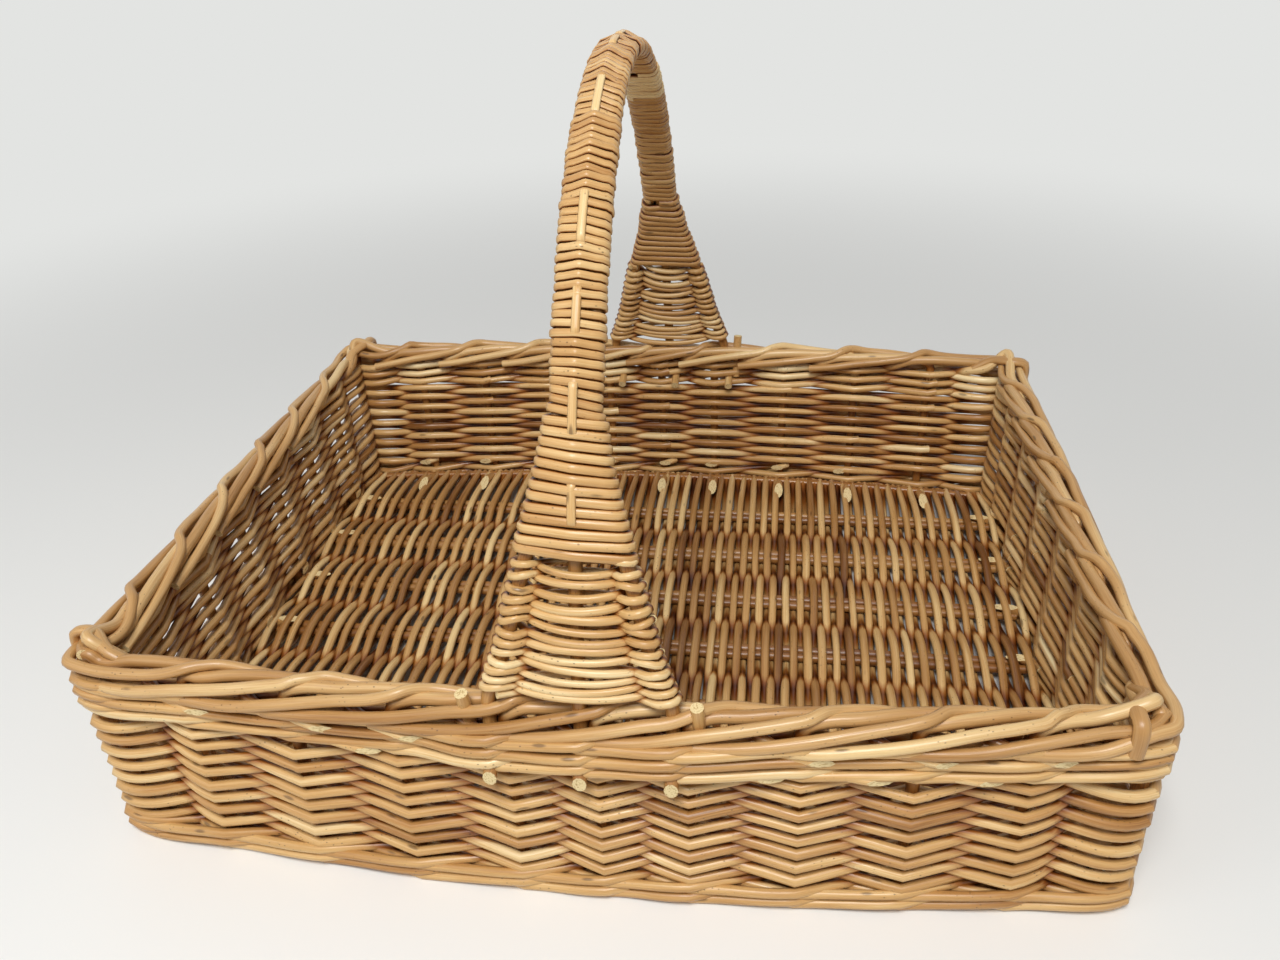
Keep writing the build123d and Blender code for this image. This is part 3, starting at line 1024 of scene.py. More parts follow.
    def rods(self, row: RoundRow, tones: tuple[float, float]) -> Iterable[tuple[Rod, np.ndarray]]:
        """Cut a row into rods, each thinning from butt to tip, and starting inside.

        Args:
            row: The row.
            tones: Tones of its rods.

        Yields:
            Each rod, and the station of each of its samples.
        """
        butt = 1.09
        taper = 0.16
        wave = 0.03
        waves = (9, 20)
        line, stations = self.line(row)
        count = len(line) - 1
        inside = [number for number, out in enumerate(row.outside)
                  if not out and not self.plan.is_post(number)]
        shift = int(self.random.integers(len(inside)))
        joints = sorted(inside[(shift + len(inside) * number // row.rods) % len(inside)]
                        for number in range(row.rods))
        for number, joint in enumerate(joints):
            end = joints[(number + 1) % len(joints)]
            first = int(np.searchsorted(stations, joint)) - 1
            last = int(np.searchsorted(stations, end)) + 1
            if last <= first:
                last += count
            chosen = np.arange(first, last + 1)
            share = np.linspace(0, 1, len(chosen))
            thickness = row.diameter * (butt - taper * share) \
                * (1 + wave * np.sin(share * self.random.uniform(*waves)))
            way = line[chosen % count].copy()
            way[0] += UP * self.joint_step
            way[-1] -= UP * self.joint_step
            rod = Rod(way, thickness, float(self.random.normal(*tones)))
            yield rod, stations[chosen % count]

    def weave(self, name: str, rows: list[RoundRow], material: Material,
              tones: tuple[float, float]) -> None:
        """Weave rows and share their rods out among the walls.

        Args:
            name: Last part of the CAD nodes' names.
            rows: The rows.
            material: Finish of the rods.
            tones: Tones of the rods.
        """
        plan = self.plan
        openness = plan.openness(plan.stake_diameter / 2 + self.weaver_diameter)
        meshes = {wall.name: RodMesh(f"{wall.name}_{name}_rods", seed=self.seed + wall.first,
                                     openness=openness)
                  for wall in plan.walls}
        for row in rows:
            for rod, stations in self.rods(row, tones):
                # The way round the first post starts a little before station 0
                owners = [plan.wall_at(max(float(station), 0.0)).name for station in stations]
                edges = [0] + [number for number in range(1, len(owners))
                               if owners[number] != owners[number - 1]] + [len(owners) - 1]
                for first, last in zip(edges, edges[1:]):
                    if last > first:
                        meshes[owners[first]].add(rod, first, last)
        for wall in plan.walls:
            meshes[wall.name].build(material, "weaver_willow", f"{wall.name}_{name}")

    def weave_randing(self, material: Material) -> None:
        """Weave the plain rows, in front of one stake and behind the next.

        Args:
            material: Finish of the rods.
        """
        randing_diameters = (0.93, 1.05)
        randing_tones = (0.46, 0.15)
        stations = range(self.plan.stations)
        start = self.heights[Level.RANDING_START]
        pitch = (self.heights[Level.RANDING_END] - start) / self.randing_rows
        rows = []
        for number in range(self.randing_rows):
            height = start + pitch * (number + 0.5)
            diameter = self.weaver_diameter * self.random.uniform(*randing_diameters)
            outside = [(station + number) % 2 == 0 for station in stations]
            heights = [height - self.dip if out else height + self.dip for out in outside]
            rows.append(RoundRow(outside, heights, [0.0] * len(stations), diameter))
        self.weave("randing", rows, material, randing_tones)

    def wale_rows(self, bottom: float, top: float, rounds: int) -> list[RoundRow]:
        """Plan a three rod wale, each strand out past two stakes and in past one.

        Args:
            bottom: Height of the wale's foot.
            top: Height of its top.
            rounds: Rounds of three strands.

        Returns:
            The rows of its strands.
        """
        wale_diameters = (0.92, 1.02)
        rows = []
        radius = self.weaver_diameter / 2
        room = top - bottom - 2 * radius - self.wale_rise
        for number in range(rounds):
            start = bottom + radius + room * number / (rounds - 1)
            for strand in range(3):
                phases = [(station + strand + number) % 3
                          for station in range(self.plan.stations)]
                rows.append(RoundRow(
                    [phase != 0 for phase in phases],
                    [start + self.wale_rise * self.wale_climbs[phase] for phase in phases],
                    [self.wale_lifts[phase] for phase in phases],
                    self.weaver_diameter * self.random.uniform(*wale_diameters)))
        return rows

    def weave_wales(self, material: Material) -> None:
        """Weave the wales below and above the randing.

        Args:
            material: Finish of the rods.
        """
        bottom_tones = (0.5, 0.12)
        top_tones = (0.4, 0.14)
        below, above = self.wale_rounds
        low = self.wale_rows(0.0, self.heights[Level.RANDING_START], below)
        self.weave("bottom_wale", low, material, bottom_tones)
        top = self.heights[Level.WALL_TOP] + self.border_seat
        high = self.wale_rows(self.heights[Level.RANDING_END], top, above)
        self.weave("top_wale", high, material, top_tones)

    def stand_stakes(self, material: Material) -> None:
        """Stand the stakes and the corner posts.

        Args:
            material: Their finish.
        """
        stake_tones = (0.75, 0.1)
        post_tone = 0.7
        upright_samples = 6
        plan = self.plan
        foot = low_corner("front_stakes")[2]
        posts = RodMesh("corner_post_rods", sides=12, seed=self.seed)
        for wall in plan.walls:
            stakes = RodMesh(f"{wall.name}_stake_rods", sides=10, seed=self.seed + wall.first)
            for distance in wall.stakes():
                ends = [wall.place(distance, 0, foot), wall.place(distance, 0, plan.wall_top)]
                stakes.add(Rod(np.linspace(*ends, upright_samples), plan.stake_diameter,
                               float(self.random.normal(*stake_tones)), AHEAD))
            stakes.build(material, "stake_willow", f"{wall.name}_stakes")
            ends = [wall.start + UP * foot, wall.start + UP * plan.wall_top]
            posts.add(Rod(np.linspace(*ends, upright_samples), plan.post_diameter,
                          post_tone, AHEAD))
        posts.build(material, "stake_willow", "corner_posts")

    def leave_tails(self, material: Material) -> None:
        """Leave the slanting ends of the wales' rods.

        Args:
            material: Finish of the rods.
        """
        mesh = RodMesh("wale_tails", seed=self.seed + 7)
        for wall in self.plan.walls:
            for distance in wall.stakes():
                for tails in self.tails:
                    if mesh.random.random() <= tails.share:
                        self.leave_tail(mesh, wall, distance, tails)
        mesh.build(material, "weaver_willow")

    def leave_tail(self, mesh: RodMesh, wall: Wall, distance: float, tails: Tails) -> None:
        """Leave one slanting end beside a stake.

        Args:
            mesh: The mesh that takes it.
            wall: Its wall.
            distance: Distance of the stake from the wall's first post.
            tails: Its kind.
        """
        tail_tone = 0.3
        tail_stray = 3
        tail_bend = 0.45
        tail_cover = 0.3
        tail_ease = 3
        tail_step = 3.0
        crown = self.plan.stake_diameter / 2 + self.weaver_diameter
        middle = distance + tails.shift + mesh.random.normal(0, tail_stray)
        varied = len(tails.lengths) > 1
        length = mesh.random.uniform(*tails.lengths) if varied else tails.lengths[0]
        level = self.heights[tails.level] + tails.above
        line = [wall.place(middle - length, tails.side * (crown - tails.sunk),
                           level + tails.fall * length / tail_ease),
                wall.place(middle - length * tail_bend,
                           tails.side * (crown - tails.sunk * tail_cover),
                           level + self.tail_hump),
                wall.place(middle + self.tail_end, tails.side * (crown + self.tail_crown),
                           level - tails.fall * self.tail_end)]
        mesh.add(Rod(smooth_line(line, tail_step)[0], tails.thickness, tail_tone,
                     wall.outward * tails.side, ends=(End.SQUARE, End.SLYPE), slant=tails.slant))

    def build(self, weavers: Material, stakes: Material) -> None:
        """Build the walls.

        Args:
            weavers: Finish of the woven rods.
            stakes: Finish of the stakes and posts.
        """
        self.stand_stakes(stakes)
        self.weave_wales(weavers)
        self.weave_randing(weavers)
        self.leave_tails(weavers)


# Border

@dataclass
class Border:
    """The plaited border: the tops of the stakes, bent down one over the other.

    A place on a rod's way is given by the stakes that it has passed, then how far outward
    and how far above the border's middle it lies, in millimetres.

    Attributes:
        plan: Where the stakes stand.
        rod_diameter: Thickness of a rod where it rises.
        tip_diameter: Thickness where it ends.
        way: Way of a rod.
        rooted: How far down in the wall it starts.
        post_ends: Stakes passed where it may end at a corner post.
        middle_height: Height of the border's middle over the top of the walls.
        corner_reach: How close the rods draw in to a corner post, against their distance.
        corner_rise: How far they climb there.
        climb_from: Place, above the middle, from which rods climb.
        climb_to: Place from which they climb all the way.
        corner_bend: Half the stretch of their bend round a post.
        corner_sag: How much lower they pass beside the post.
        cram_way: Way of the rod that is folded over the border at a post, from there.
        crown: From the border's middle to the crown of its outer rods.
        step: Distance between samples of a rod.
        jitter: How far rods stray.
        seed: Start of the random numbers.
    """

    plan: Plan
    rod_diameter: float = 7.3
    tip_diameter: float = 5.6
    way: tuple[tuple[float, float, float], ...] = (
        (0.00, 0.0, 1.0), (0.04, 0.2, 4.0), (0.16, -0.4, 6.0), (0.50, -2.2, 7.2),
        (1.00, -5.0, 7.4), (1.28, -5.6, 5.6), (1.50, -4.0, 0.6), (1.66, 2.4, -3.6),
        (1.80, 6.6, -5.2), (2.00, 8.0, -5.2), (2.50, 9.4, -2.6), (3.00, 8.8, 2.0),
        (3.50, 6.6, 6.2), (3.90, 4.4, 9.2), (4.04, 2.6, 10.6), (4.12, 0.2, 11.4),
        (4.20, -3.0, 10.8), (4.30, -5.6, 9.0), (4.60, -8.2, 6.2), (5.00, -9.0, 2.4),
        (5.40, -8.8, -1.4), (5.65, -8.0, -3.8))
    rooted: float = 4
    post_ends: tuple[int, int] = (4, 5)
    middle_height: float = 8.0
    corner_reach: float = 0.6
    corner_rise: float = 10.5
    climb_from: float = -7
    climb_to: float = 9
    corner_bend: float = 13.0
    corner_sag: float = 1
    cram_way: tuple[tuple[float, float, float], ...] = (
        (0.45, -4.0, 3.0), (0.225, -3.5, 10.5), (-0.22, 1.5, 14.6), (-0.22, 8.6, 13.6),
        (-0.22, 10.6, 12.2), (-0.22, 11.2, 9.6), (-0.22, 11.2, -4.0))
    crown: float = 13.0
    step: float = 3.0
    jitter: float = 0.35
    seed: int = 23

    def __post_init__(self) -> None:
        """Find the height of the border's middle."""
        self.middle = self.plan.wall_top + self.middle_height

    def points(self, station: int) -> list[np.ndarray]:
        """Find the places that the rod of a stake passes.

        Args:
            station: The stake.

        Returns:
            The places, from the stake's top to the rod's end inside the basket.
        """
        post_end = 0.1
        hook_rise = 0.6
        hook_end = 0.15
        plan = self.plan
        points = [plan.place(station, 0, plan.wall_top - self.rooted)]
        posts = [passed for passed in self.post_ends if plan.is_post(station + passed)]
        last = posts[0] + post_end if posts else self.way[-1][0]
        for passed, out, up in self.way:
            if passed > last:
                break
            if passed == int(passed) and passed > 0 and plan.is_post(station + int(passed)):
                points += self.round_post(station + int(passed), out, up)
                continue
            hooked = plan.is_post(station) and passed < hook_end
            rise = self.corner_rise * hook_rise if hooked else 0
            points.append(plan.place(station + passed, out, self.middle + up + rise))
        return points

    def round_post(self, post: int, out: float, up: float) -> list[np.ndarray]:
        """Bend a rod round a corner post, closer in and over the others.

        Args:
            post: Station of the post.
            out: How far outward the rod lies.
            up: How far above the border's middle.

        Returns:
            The places that it passes.
        """
        least_climb = 0.15
        before, after = self.plan.wall_at(post - 1), self.plan.wall_at(post)
        climb = (up - self.climb_from) / (self.climb_to - self.climb_from)
        rise = self.corner_rise * min(max(climb, least_climb), 1.0)
        height = self.middle + up + rise
        outward = (before.outward + after.outward) * out * self.corner_reach
        corner = after.start + outward + UP * height
        if out <= 0:
            return [corner]
        low = UP * (height - self.corner_sag)
        bend = self.corner_bend - out
        return [after.start + before.outward * out - before.along * bend + low, corner,
                after.start + after.outward * out + after.along * bend + low]

    def build(self, material: Material) -> None:
        """Build the four sides of the border, with the rods crammed in at the corners.

        Args:
            material: Finish of the rods.
        """
        diameters = (0.95, 1.04)
        tones = (0.38, 0.13)
        random = np.random.default_rng(self.seed)
        for wall in self.plan.walls:
            mesh = RodMesh(f"{wall.name}_border_rods", sides=12, seed=self.seed + wall.first,
                           openness=self.openness)
            for station in range(wall.first, wall.first + len(wall.stations) - 1):
                points = np.array(self.points(station))
                points[2:] += random.normal(0, self.jitter, points[2:].shape)
                line, places = smooth_line(points, self.step)
                share = places / places[-1]
                thickness = self.rod_diameter + (self.tip_diameter - self.rod_diameter) * share
                mesh.add(Rod(line, thickness * random.uniform(*diameters),
                             float(random.normal(*tones)), wall.outward))
            self.cram(mesh, wall)
            mesh.build(material, "border_willow", f"{wall.name}_border")

    def openness(self, places: np.ndarray) -> np.ndarray:
        """Measure how open places lie in the border.

        Args:
            places: Their coordinates.

        Returns:
            0 in the middle of the border, to 1 at its outside.
        """
        shade = 0.1
        off_middle = np.hypot(self.plan.off_wall(places), places[:, 2] - self.middle)
        return np.clip(off_middle / self.crown - shade, 0, 1)

    def cram(self, mesh: RodMesh, wall: Wall) -> None:
        """Fold a rod from the next side over the border at a wall's first post.

        Args:
            mesh: The mesh that takes it.
            wall: The wall that it comes from.
        """
        cram_thickness = 0.8
        cram_width = 1.35
        cram_tone = 0.42
        cram_step = 2.0
        post = wall.first + self.plan.stations
        points = [self.plan.place(post + passed, out, self.middle + up)
                  for passed, out, up in self.cram_way]
        mesh.add(Rod(smooth_line(points, cram_step)[0], self.rod_diameter * cram_thickness,
                     cram_tone, wall.along, cram_width))


# Base

@dataclass
class Base:
    """The woven base: sticks in pairs along the basket, and weavers across them.

    A pair of tones is the mean tone of some rods, and how far they stray from it.

    Attributes:
        plan: Where the walls stand.
        stick_diameter: Thickness of a stick.
        stick_gap: Between the two sticks of a pair.
        edge_gap: Between an outer stick and the wall.
        pairs: Pairs of sticks.
        weaver_diameter: Mean thickness of a weaver.
        weaver_pitch: From one weaver to the next.
        pair_reach: Half the stretch in which it lies flat over a pair.
        inset: From the middle of a wall to its inner face.
        butt_reaches: How far the butts of a long wall's and a short wall's stakes reach into
            the basket.
        butt_length: Greatest length of a butt along the base.
        butt_start: Least distance of its root from the wall's middle.
        butt_root: How deep its root lies under the base's upper weavers.
        butt_tip: How high its tip stands over them.
        butt_diameter: Its thickness.
        step: Distance between samples of a weaver.
        seed: Start of the random numbers.
    """

    plan: Plan
    stick_diameter: float = 6.4
    stick_gap: float = 0.2
    edge_gap: float = 0.7
    pairs: int = 6
    weaver_diameter: float = 5.9
    weaver_pitch: float = 4.75
    pair_reach: float = 4.0
    inset: float = 10.2
    butt_reaches: tuple[float, float] = (50.0, 26.0)
    butt_length: float = 34
    butt_start: float = 4.0
    butt_root: float = 7
    butt_tip: float = 3.2
    butt_diameter: float = 7.0
    step: float = 6.0
    seed: int = 31

    def __post_init__(self) -> None:
        """Read from the frame where the sticks lie, and share their pairs out."""
        self.random = np.random.default_rng(self.seed)
        low, high = low_corner("base_stick_pairs"), high_corner("base_stick_pairs")
        self.stick_end = high[0]
        self.middle = (low[2] + high[2]) / 2
        self.swing = (self.stick_diameter + self.weaver_diameter) / 2
        pitch = 2 * self.plan.half_depth / (self.pairs + 1)
        self.pair_places = [pitch * (number - (self.pairs - 1) / 2)
                            for number in range(self.pairs)]

    def lay_sticks(self, material: Material) -> None:
        """Lay the pairs of sticks, and the two bowed ones along the long walls.

        Args:
            material: Their finish.
        """
        stick_diameters = (0.93, 1.06)
        stick_tones = (0.55, 0.12)
        stick_waver = 0.25
        stick_samples = 24
        edge_tone = 0.6
        mesh = RodMesh("base_stick_pair_rods", sides=10, seed=self.seed)
        for place in self.pair_places:
            for side in (-1, 1):
                y = place + side * (self.stick_diameter + self.stick_gap) / 2
                ends = [np.array((self.stick_end * way, y, self.middle)) for way in (-1, 1)]
                line = np.linspace(*ends, stick_samples)
                line[:, 2] += self.random.normal(0, stick_waver, len(line))
                diameter = self.stick_diameter * self.random.uniform(*stick_diameters)
                mesh.add(Rod(line, diameter, float(self.random.normal(*stick_tones))))
        mesh.build(material, "stake_willow", "base_stick_pairs")

        mesh = RodMesh("base_edge_stick_rods", sides=10, seed=self.seed + 1)
        edge = self.inset + self.stick_diameter / 2 + self.edge_gap
        for wall in (self.plan.walls[0], self.plan.walls[2]):
            distances = np.linspace(edge, wall.length - edge, stick_samples)
            line = np.array([wall.place(distance, -edge, self.middle) for distance in distances])
            mesh.add(Rod(line, self.stick_diameter, edge_tone))
        mesh.build(material, "stake_willow", "base_edge_sticks")

    def weaver(self, number: int, x: float, lean: float) -> list[np.ndarray]:
        """Take a weaver across the base, over one pair of sticks and under the next.

        Args:
            number: Its number, which says whether it starts over a pair or under it.
            x: Its place along the basket.
            lean: How far its middle leans out with the bowed short walls.

        Returns:
            The places that it passes, from the front wall to the back wall.
        """
        weaver_stray = 0.45
        weaver_tilt = 0.5
        plan = self.plan
        end = plan.half_depth - self.inset \
            + plan.walls[0].bow * (1 - (x / plan.half_length)**2)
        tilt = self.random.normal(0, weaver_tilt)
        points = [np.array((x + tilt, -end, self.middle))]
        for order, place in enumerate(self.pair_places):
            height = self.middle + self.swing * (-1)**(order + number)
            stray = self.random.normal(0, weaver_stray) \
                + lean * (1 - (place / plan.half_depth)**2)
            for offset in (-self.pair_reach, self.pair_reach):
                points.append(np.array((x + stray, place + offset, height)))
        return points + [np.array((x - tilt, end, self.middle))]

    def openness(self, places: np.ndarray) -> np.ndarray:
        """How open places lie: 0 in the middle of the base and 1 at its two faces."""
        face = self.swing + self.weaver_diameter / 2
        return np.clip(np.abs(places[:, 2] - self.middle) / face, 0, 1)

    def weave(self, material: Material) -> None:
        """Work the weavers across the sticks.

        Args:
            material: Their finish.
        """
        weaver_diameters = (0.86, 1.06)
        weaver_tones = (0.42, 0.2)
        mesh = RodMesh("base_weaver_rods", seed=self.seed + 2, openness=self.openness)
        span = self.stick_end + self.weaver_pitch / 2
        count = int(2 * span / self.weaver_pitch)
        for number in range(count):
            x = self.weaver_pitch * (number - (count - 1) / 2)
            points = self.weaver(number, x, self.plan.walls[1].bow * (x / span)**3)
            line, _ = smooth_line(points, self.step)
            diameter = self.weaver_diameter * self.random.uniform(*weaver_diameters)
            mesh.add(Rod(line, diameter, float(self.random.normal(*weaver_tones))))
        mesh.build(material, "base_willow", "base_weave")

    def push_butts(self, material: Material) -> None:
        """Let the slanting butt of each stake come up through the base, inside its wall.

        Args:
            material: Finish of the stakes.
        """
        butt_stray = 2.0
        butt_tone = 0.45
        butt_slant = 2.4
        butt_step = 3.0
        mesh = RodMesh("stake_butts", sides=10, seed=self.seed + 3)
        height = self.middle + self.swing
        long_reach, short_reach = self.butt_reaches
        for wall in self.plan.walls:
            # The long walls run along X
            reach = long_reach if wall.along[0] else short_reach
            root = max(reach - self.butt_length, self.butt_start)
            for distance in wall.stakes():
                place = distance + mesh.random.normal(0, butt_stray)
                line = [wall.place(place, -root, height - self.butt_root),
                        wall.place(place, -(root + reach) / 2, height),
                        wall.place(place, -reach, height + self.butt_tip)]
                mesh.add(Rod(smooth_line(line, butt_step)[0], self.butt_diameter, butt_tone,
                             ends=(End.SQUARE, End.SLYPE), slant=butt_slant))
        mesh.build(material, "stake_willow")

    def build(self, sticks: Material, weavers: Material) -> None:
        """Build the base.

        Args:
            sticks: Finish of the sticks and the stakes' butts.
            weavers: Finish of the weavers.
        """
        self.lay_sticks(sticks)
        self.weave(weavers)
        self.push_butts(sticks)


# Handle

@dataclass(frozen=True)
class Binding:
    """One stretch of the handle's binding.

    Attributes:
        name: Last part of its CAD node's name.
        start: Where it starts along the arch, in millimetres from the front foot.
        end: Where it ends.
        pitch: From one turn to the next.
        thickness: Thickness of the split rod or skein.
    """

    name: str
    start: float
    end: float
    pitch: float
    thickness: float


@dataclass
class Handle:
    """The fixed handle: three bows in an arch, woven at the feet and bound above.

    A wrap is the pitch of a binding's turns and its thickness. A pair of tones is the mean
    tone of some rods, and how far they stray from it.

    Attributes:
        plan: Where the stakes stand.
        bow_diameter: Thickness of a bow.
        bow_swell: How much thicker it is drawn, so that it fills its binding.
        leg_ends: Way of a leg's end: out of the rim's middle, and above the leg's foot.
        centre_height: Height of the ellipse's centre.
        foot_height: Height of the arch's ends over the top of the walls.
        closed_spread: From the middle bow to an outer one where they lie together.
        closing_height: Height at which the legs meet.
        spread_shares: Height from the rim to there, against how far the legs still stand apart.
        ridge: How far the middle bow stands out of the other two.
        ridge_spread: Spread of the bows above which the ridge sinks away.
        foot_weaver: Thickness of a rod of the foot's weave.
        foot_rows: Rows of the foot's weave.
        foot_start: Where it starts along the arch.
        foot_end: Where it ends and the binding starts.
        foot_way: Way of a row from an outer leg to the middle one: across, against the legs'
            spread, then out of their middle, against the weave's reach, and share of its sag.
        foot_turn: Way round an outer leg: out of its middle and beyond it, against the reach.
        foot_crown: From the weave's reach to its crown.
        stub_places: Places of the two stubs beside a foot.
        stub_way: Way of a stub: aside, inward from the rim's middle, and up from its top.
        stub_height: Height of a stub over the top of the walls.
        stub_diameter: Its thickness.
        peg_beside: From a leg to the peg at the back wall.
        peg_depth: How far below the top of the walls the pegs come out.
        peg_way: Way of a peg: outward from the rim's middle, and above its end.
        peg_diameter: Its thickness.
        wrap_angles: Corners of a turn round an outer bow, in degrees from sideways.
        wrap_shares: Corners over the ridge, as shares of the spread.
        foot_wrap: Wrap next to the feet.
        rod_wrap: Wrap higher up.
        skein_wrap: Wrap of the flat skeins at the top.
        foot_bound: Where the first wrap ends along the arch.
        rod_bound: Where the second ends.
        leader_width: Width of the strip that runs over and under the binding.
        leader_thickness: Its thickness.
        leader_lift: How far it lifts the turns that lie over it, against that.
        leader_over: Where it shows, along each half of the arch.
        leader_tuck: How far it runs on under the binding at each end.
        leader_sunk: How deep it lies there.
        leader_gap: How far it lies off the binding.
        seed: Start of the random numbers.
    """

    plan: Plan
    bow_diameter: float = 6.6
    bow_swell: float = 0.6
    leg_ends: tuple[tuple[float, float], ...] = (
        (17.5, -3), (12.0, 2.5), (6.5, 10), (3.0, 20))
    centre_height: float = 60.0
    foot_height: float = 21.8
    closed_spread: float = 6.9
    closing_height: float = 270.0
    spread_shares: tuple[tuple[float, float], ...] = (
        (0.0, 1.0), (0.21, 0.72), (0.51, 0.45), (0.80, 0.15), (1.0, 0.0))
    ridge: float = 2.4
    ridge_spread: float = 14
    foot_weaver: float = 4.1
    foot_rows: int = 27
    foot_start: float = 3.0
    foot_end: float = 75.0
    foot_way: tuple[tuple[float, float, float], ...] = (
        (0.9, 0.95, 0.0), (0.76, 0.2, 0.3), (0.35, -0.85, 0.8), (0.0, -1.0, 1.0))
    foot_turn: tuple[tuple[float, float], ...] = ((0.75, 0.72), (0.0, 1.0), (-0.75, 0.72))
    foot_crown: float = 2.0
    stub_places: tuple[float, float] = (-56.0, 58.0)
    stub_way: tuple[tuple[float, float, float], ...] = (
        (0.0, 2, -34), (-0.3, -2, -12), (-1.0, -4, 0))
    stub_height: float = 26.0
    stub_diameter: float = 6.6
    peg_beside: float = 5.0
    peg_depth: float = 13.0
    peg_way: tuple[tuple[float, float], ...] = ((2, 5), (-12.5, 0))
    peg_diameter: float = 6.2
    wrap_angles: tuple[float, ...] = (-90, -55, -20, 20, 55, 90)
    wrap_shares: tuple[float, ...] = (0.5, 0.14, 0.0, -0.14, -0.5)
    foot_wrap: tuple[float, float] = (4.9, 3.5)
    rod_wrap: tuple[float, float] = (4.35, 2.6)
    skein_wrap: tuple[float, float] = (4.2, 1.7)
    foot_bound: float = 139
    rod_bound: float = 285
    leader_width: float = 4.2
    leader_thickness: float = 1.7
    leader_lift: float = 0.8
    leader_over: tuple[tuple[float, float], ...] = (
        (94, 108), (134, 152), (177, 194), (219, 239), (287, 311), (352, 361))
    leader_tuck: float = 3
    leader_sunk: float = 1.9
    leader_gap: float = 0.1
    seed: int = 41

    def __post_init__(self) -> None:
        """Measure out the arch between its feet, and the stretches of its binding."""
        arch_samples = 400
        self.random = np.random.default_rng(self.seed)
        plan = self.plan
        top = high_corner("handle_bow_middle")[2] - self.bow_diameter / 2
        self.rim_half_depth = plan.half_depth + plan.walls[0].bow
        self.lowest = plan.wall_top + self.foot_height
        rise = top - self.centre_height
        lift = (self.lowest - self.centre_height) / rise
        half_span = self.rim_half_depth / math.sqrt(1 - lift**2)
        turn = np.linspace(math.asin(lift), math.pi - math.asin(lift), arch_samples)
        flat = np.zeros_like(turn)
        self.arch = np.stack([flat, -half_span * np.cos(turn),
                              self.centre_height + rise * np.sin(turn)], axis=-1)
        self.outward = unit(np.stack([flat, -rise * np.cos(turn), half_span * np.sin(turn)],
                                     axis=-1))
        lengths = np.linalg.norm(np.diff(self.arch, axis=0), axis=1)
        self.distances = np.concatenate([[0.0], np.cumsum(lengths)])
        self.length = float(self.distances[-1])
        far_rod, far_foot = self.length - self.rod_bound, self.length - self.foot_bound
        self.stretches = (
            Binding("foot_front", self.foot_end, self.foot_bound, *self.foot_wrap),
            Binding("front", self.foot_bound, self.rod_bound, *self.rod_wrap),
            Binding("top", self.rod_bound, far_rod, *self.skein_wrap),
            Binding("back", far_rod, far_foot, *self.rod_wrap),
            Binding("foot_back", far_foot, self.length - self.foot_end, *self.foot_wrap))

    def at(self, table: np.ndarray, distance: float) -> np.ndarray:
        """Look up the arch's place or outward way at a distance along it."""
        return np.array([np.interp(distance, self.distances, table[:, axis])
                         for axis in range(3)])

    def spread(self, distance: float) -> float:
        """Measure how far the outer bows stand from the middle one.

        Args:
            distance: Where along the arch.

        Returns:
            The distance between their middles.
        """
        height = float(np.interp(distance, self.distances, self.arch[:, 2]))
        share = (height - self.lowest) / (self.closing_height - self.lowest)
        apart = float(np.interp(share, *zip(*self.spread_shares)))
        return self.closed_spread + (self.plan.leg_pitch - self.closed_spread) * apart

    def ridge_at(self, distance: float) -> float:
        """How far the middle bow stands out of the other two at a distance along the arch."""
        return self.ridge * min(1.0, self.ridge_spread / self.spread(distance))

    def place(self, distance: float, sideways: float, out: float) -> np.ndarray:
        """A point on the handle: along the arch, across it, and outward."""
        return self.at(self.arch, distance) + AHEAD * sideways \
            + unit(self.at(self.outward, distance)) * out

    def bend_bows(self, material: Material) -> None:
        """Bend the three bows and push their ends down outside the walls.

        Args:
            material: Their finish.
        """
        bow_tone = 0.5
        bow_slant = 0.9
        bow_samples = 50
        bow_step = 6.0
        foot = low_corner("handle_bow_middle")[2]
        for name, side in (("left", -1), ("middle", 0), ("right", 1)):
            mesh = RodMesh(f"handle_{name}_bow_rod", sides=10, seed=self.seed + side)
            leg = [np.array((side * self.plan.leg_pitch, -(self.rim_half_depth + out), foot + up))
                   for out, up in self.leg_ends]
            over = [self.place(distance, side * self.spread(distance), 0)
                    for distance in np.linspace(0, self.length, bow_samples)]
            back = [point * np.array((1, -1, 1)) for point in reversed(leg)]
            line, _ = smooth_line(leg + over + back, bow_step)
            mesh.add(Rod(line, self.bow_diameter + self.bow_swell, bow_tone, -ASIDE,
                         ends=(End.SLYPE, End.SLYPE), slant=bow_slant))
            mesh.build(material, "stake_willow", f"handle_bow_{name}")

    def foot_openness(self, turn: float) -> Callable[[np.ndarray], np.ndarray]:
        """Say how open places in a foot's weave lie.

        Args:
            turn: 1 at the front foot, and -1 at the back one.

        Returns:
            A function of places that gives 0 in the legs' middle and 1 at the weave's crown.
        """
        rising_samples = 150
        crown = (self.bow_diameter + self.foot_weaver) / 2 + self.foot_crown
        rising = self.arch[:rising_samples]

        def measure(places: np.ndarray) -> np.ndarray:
            """Share of the crown's distance at which each place stands off the legs."""
            legs = np.interp(places[:, 2], rising[:, 2], rising[:, 1])
            return np.clip(np.abs(places[:, 1] * turn - legs) / crown, 0, 1)

        return measure

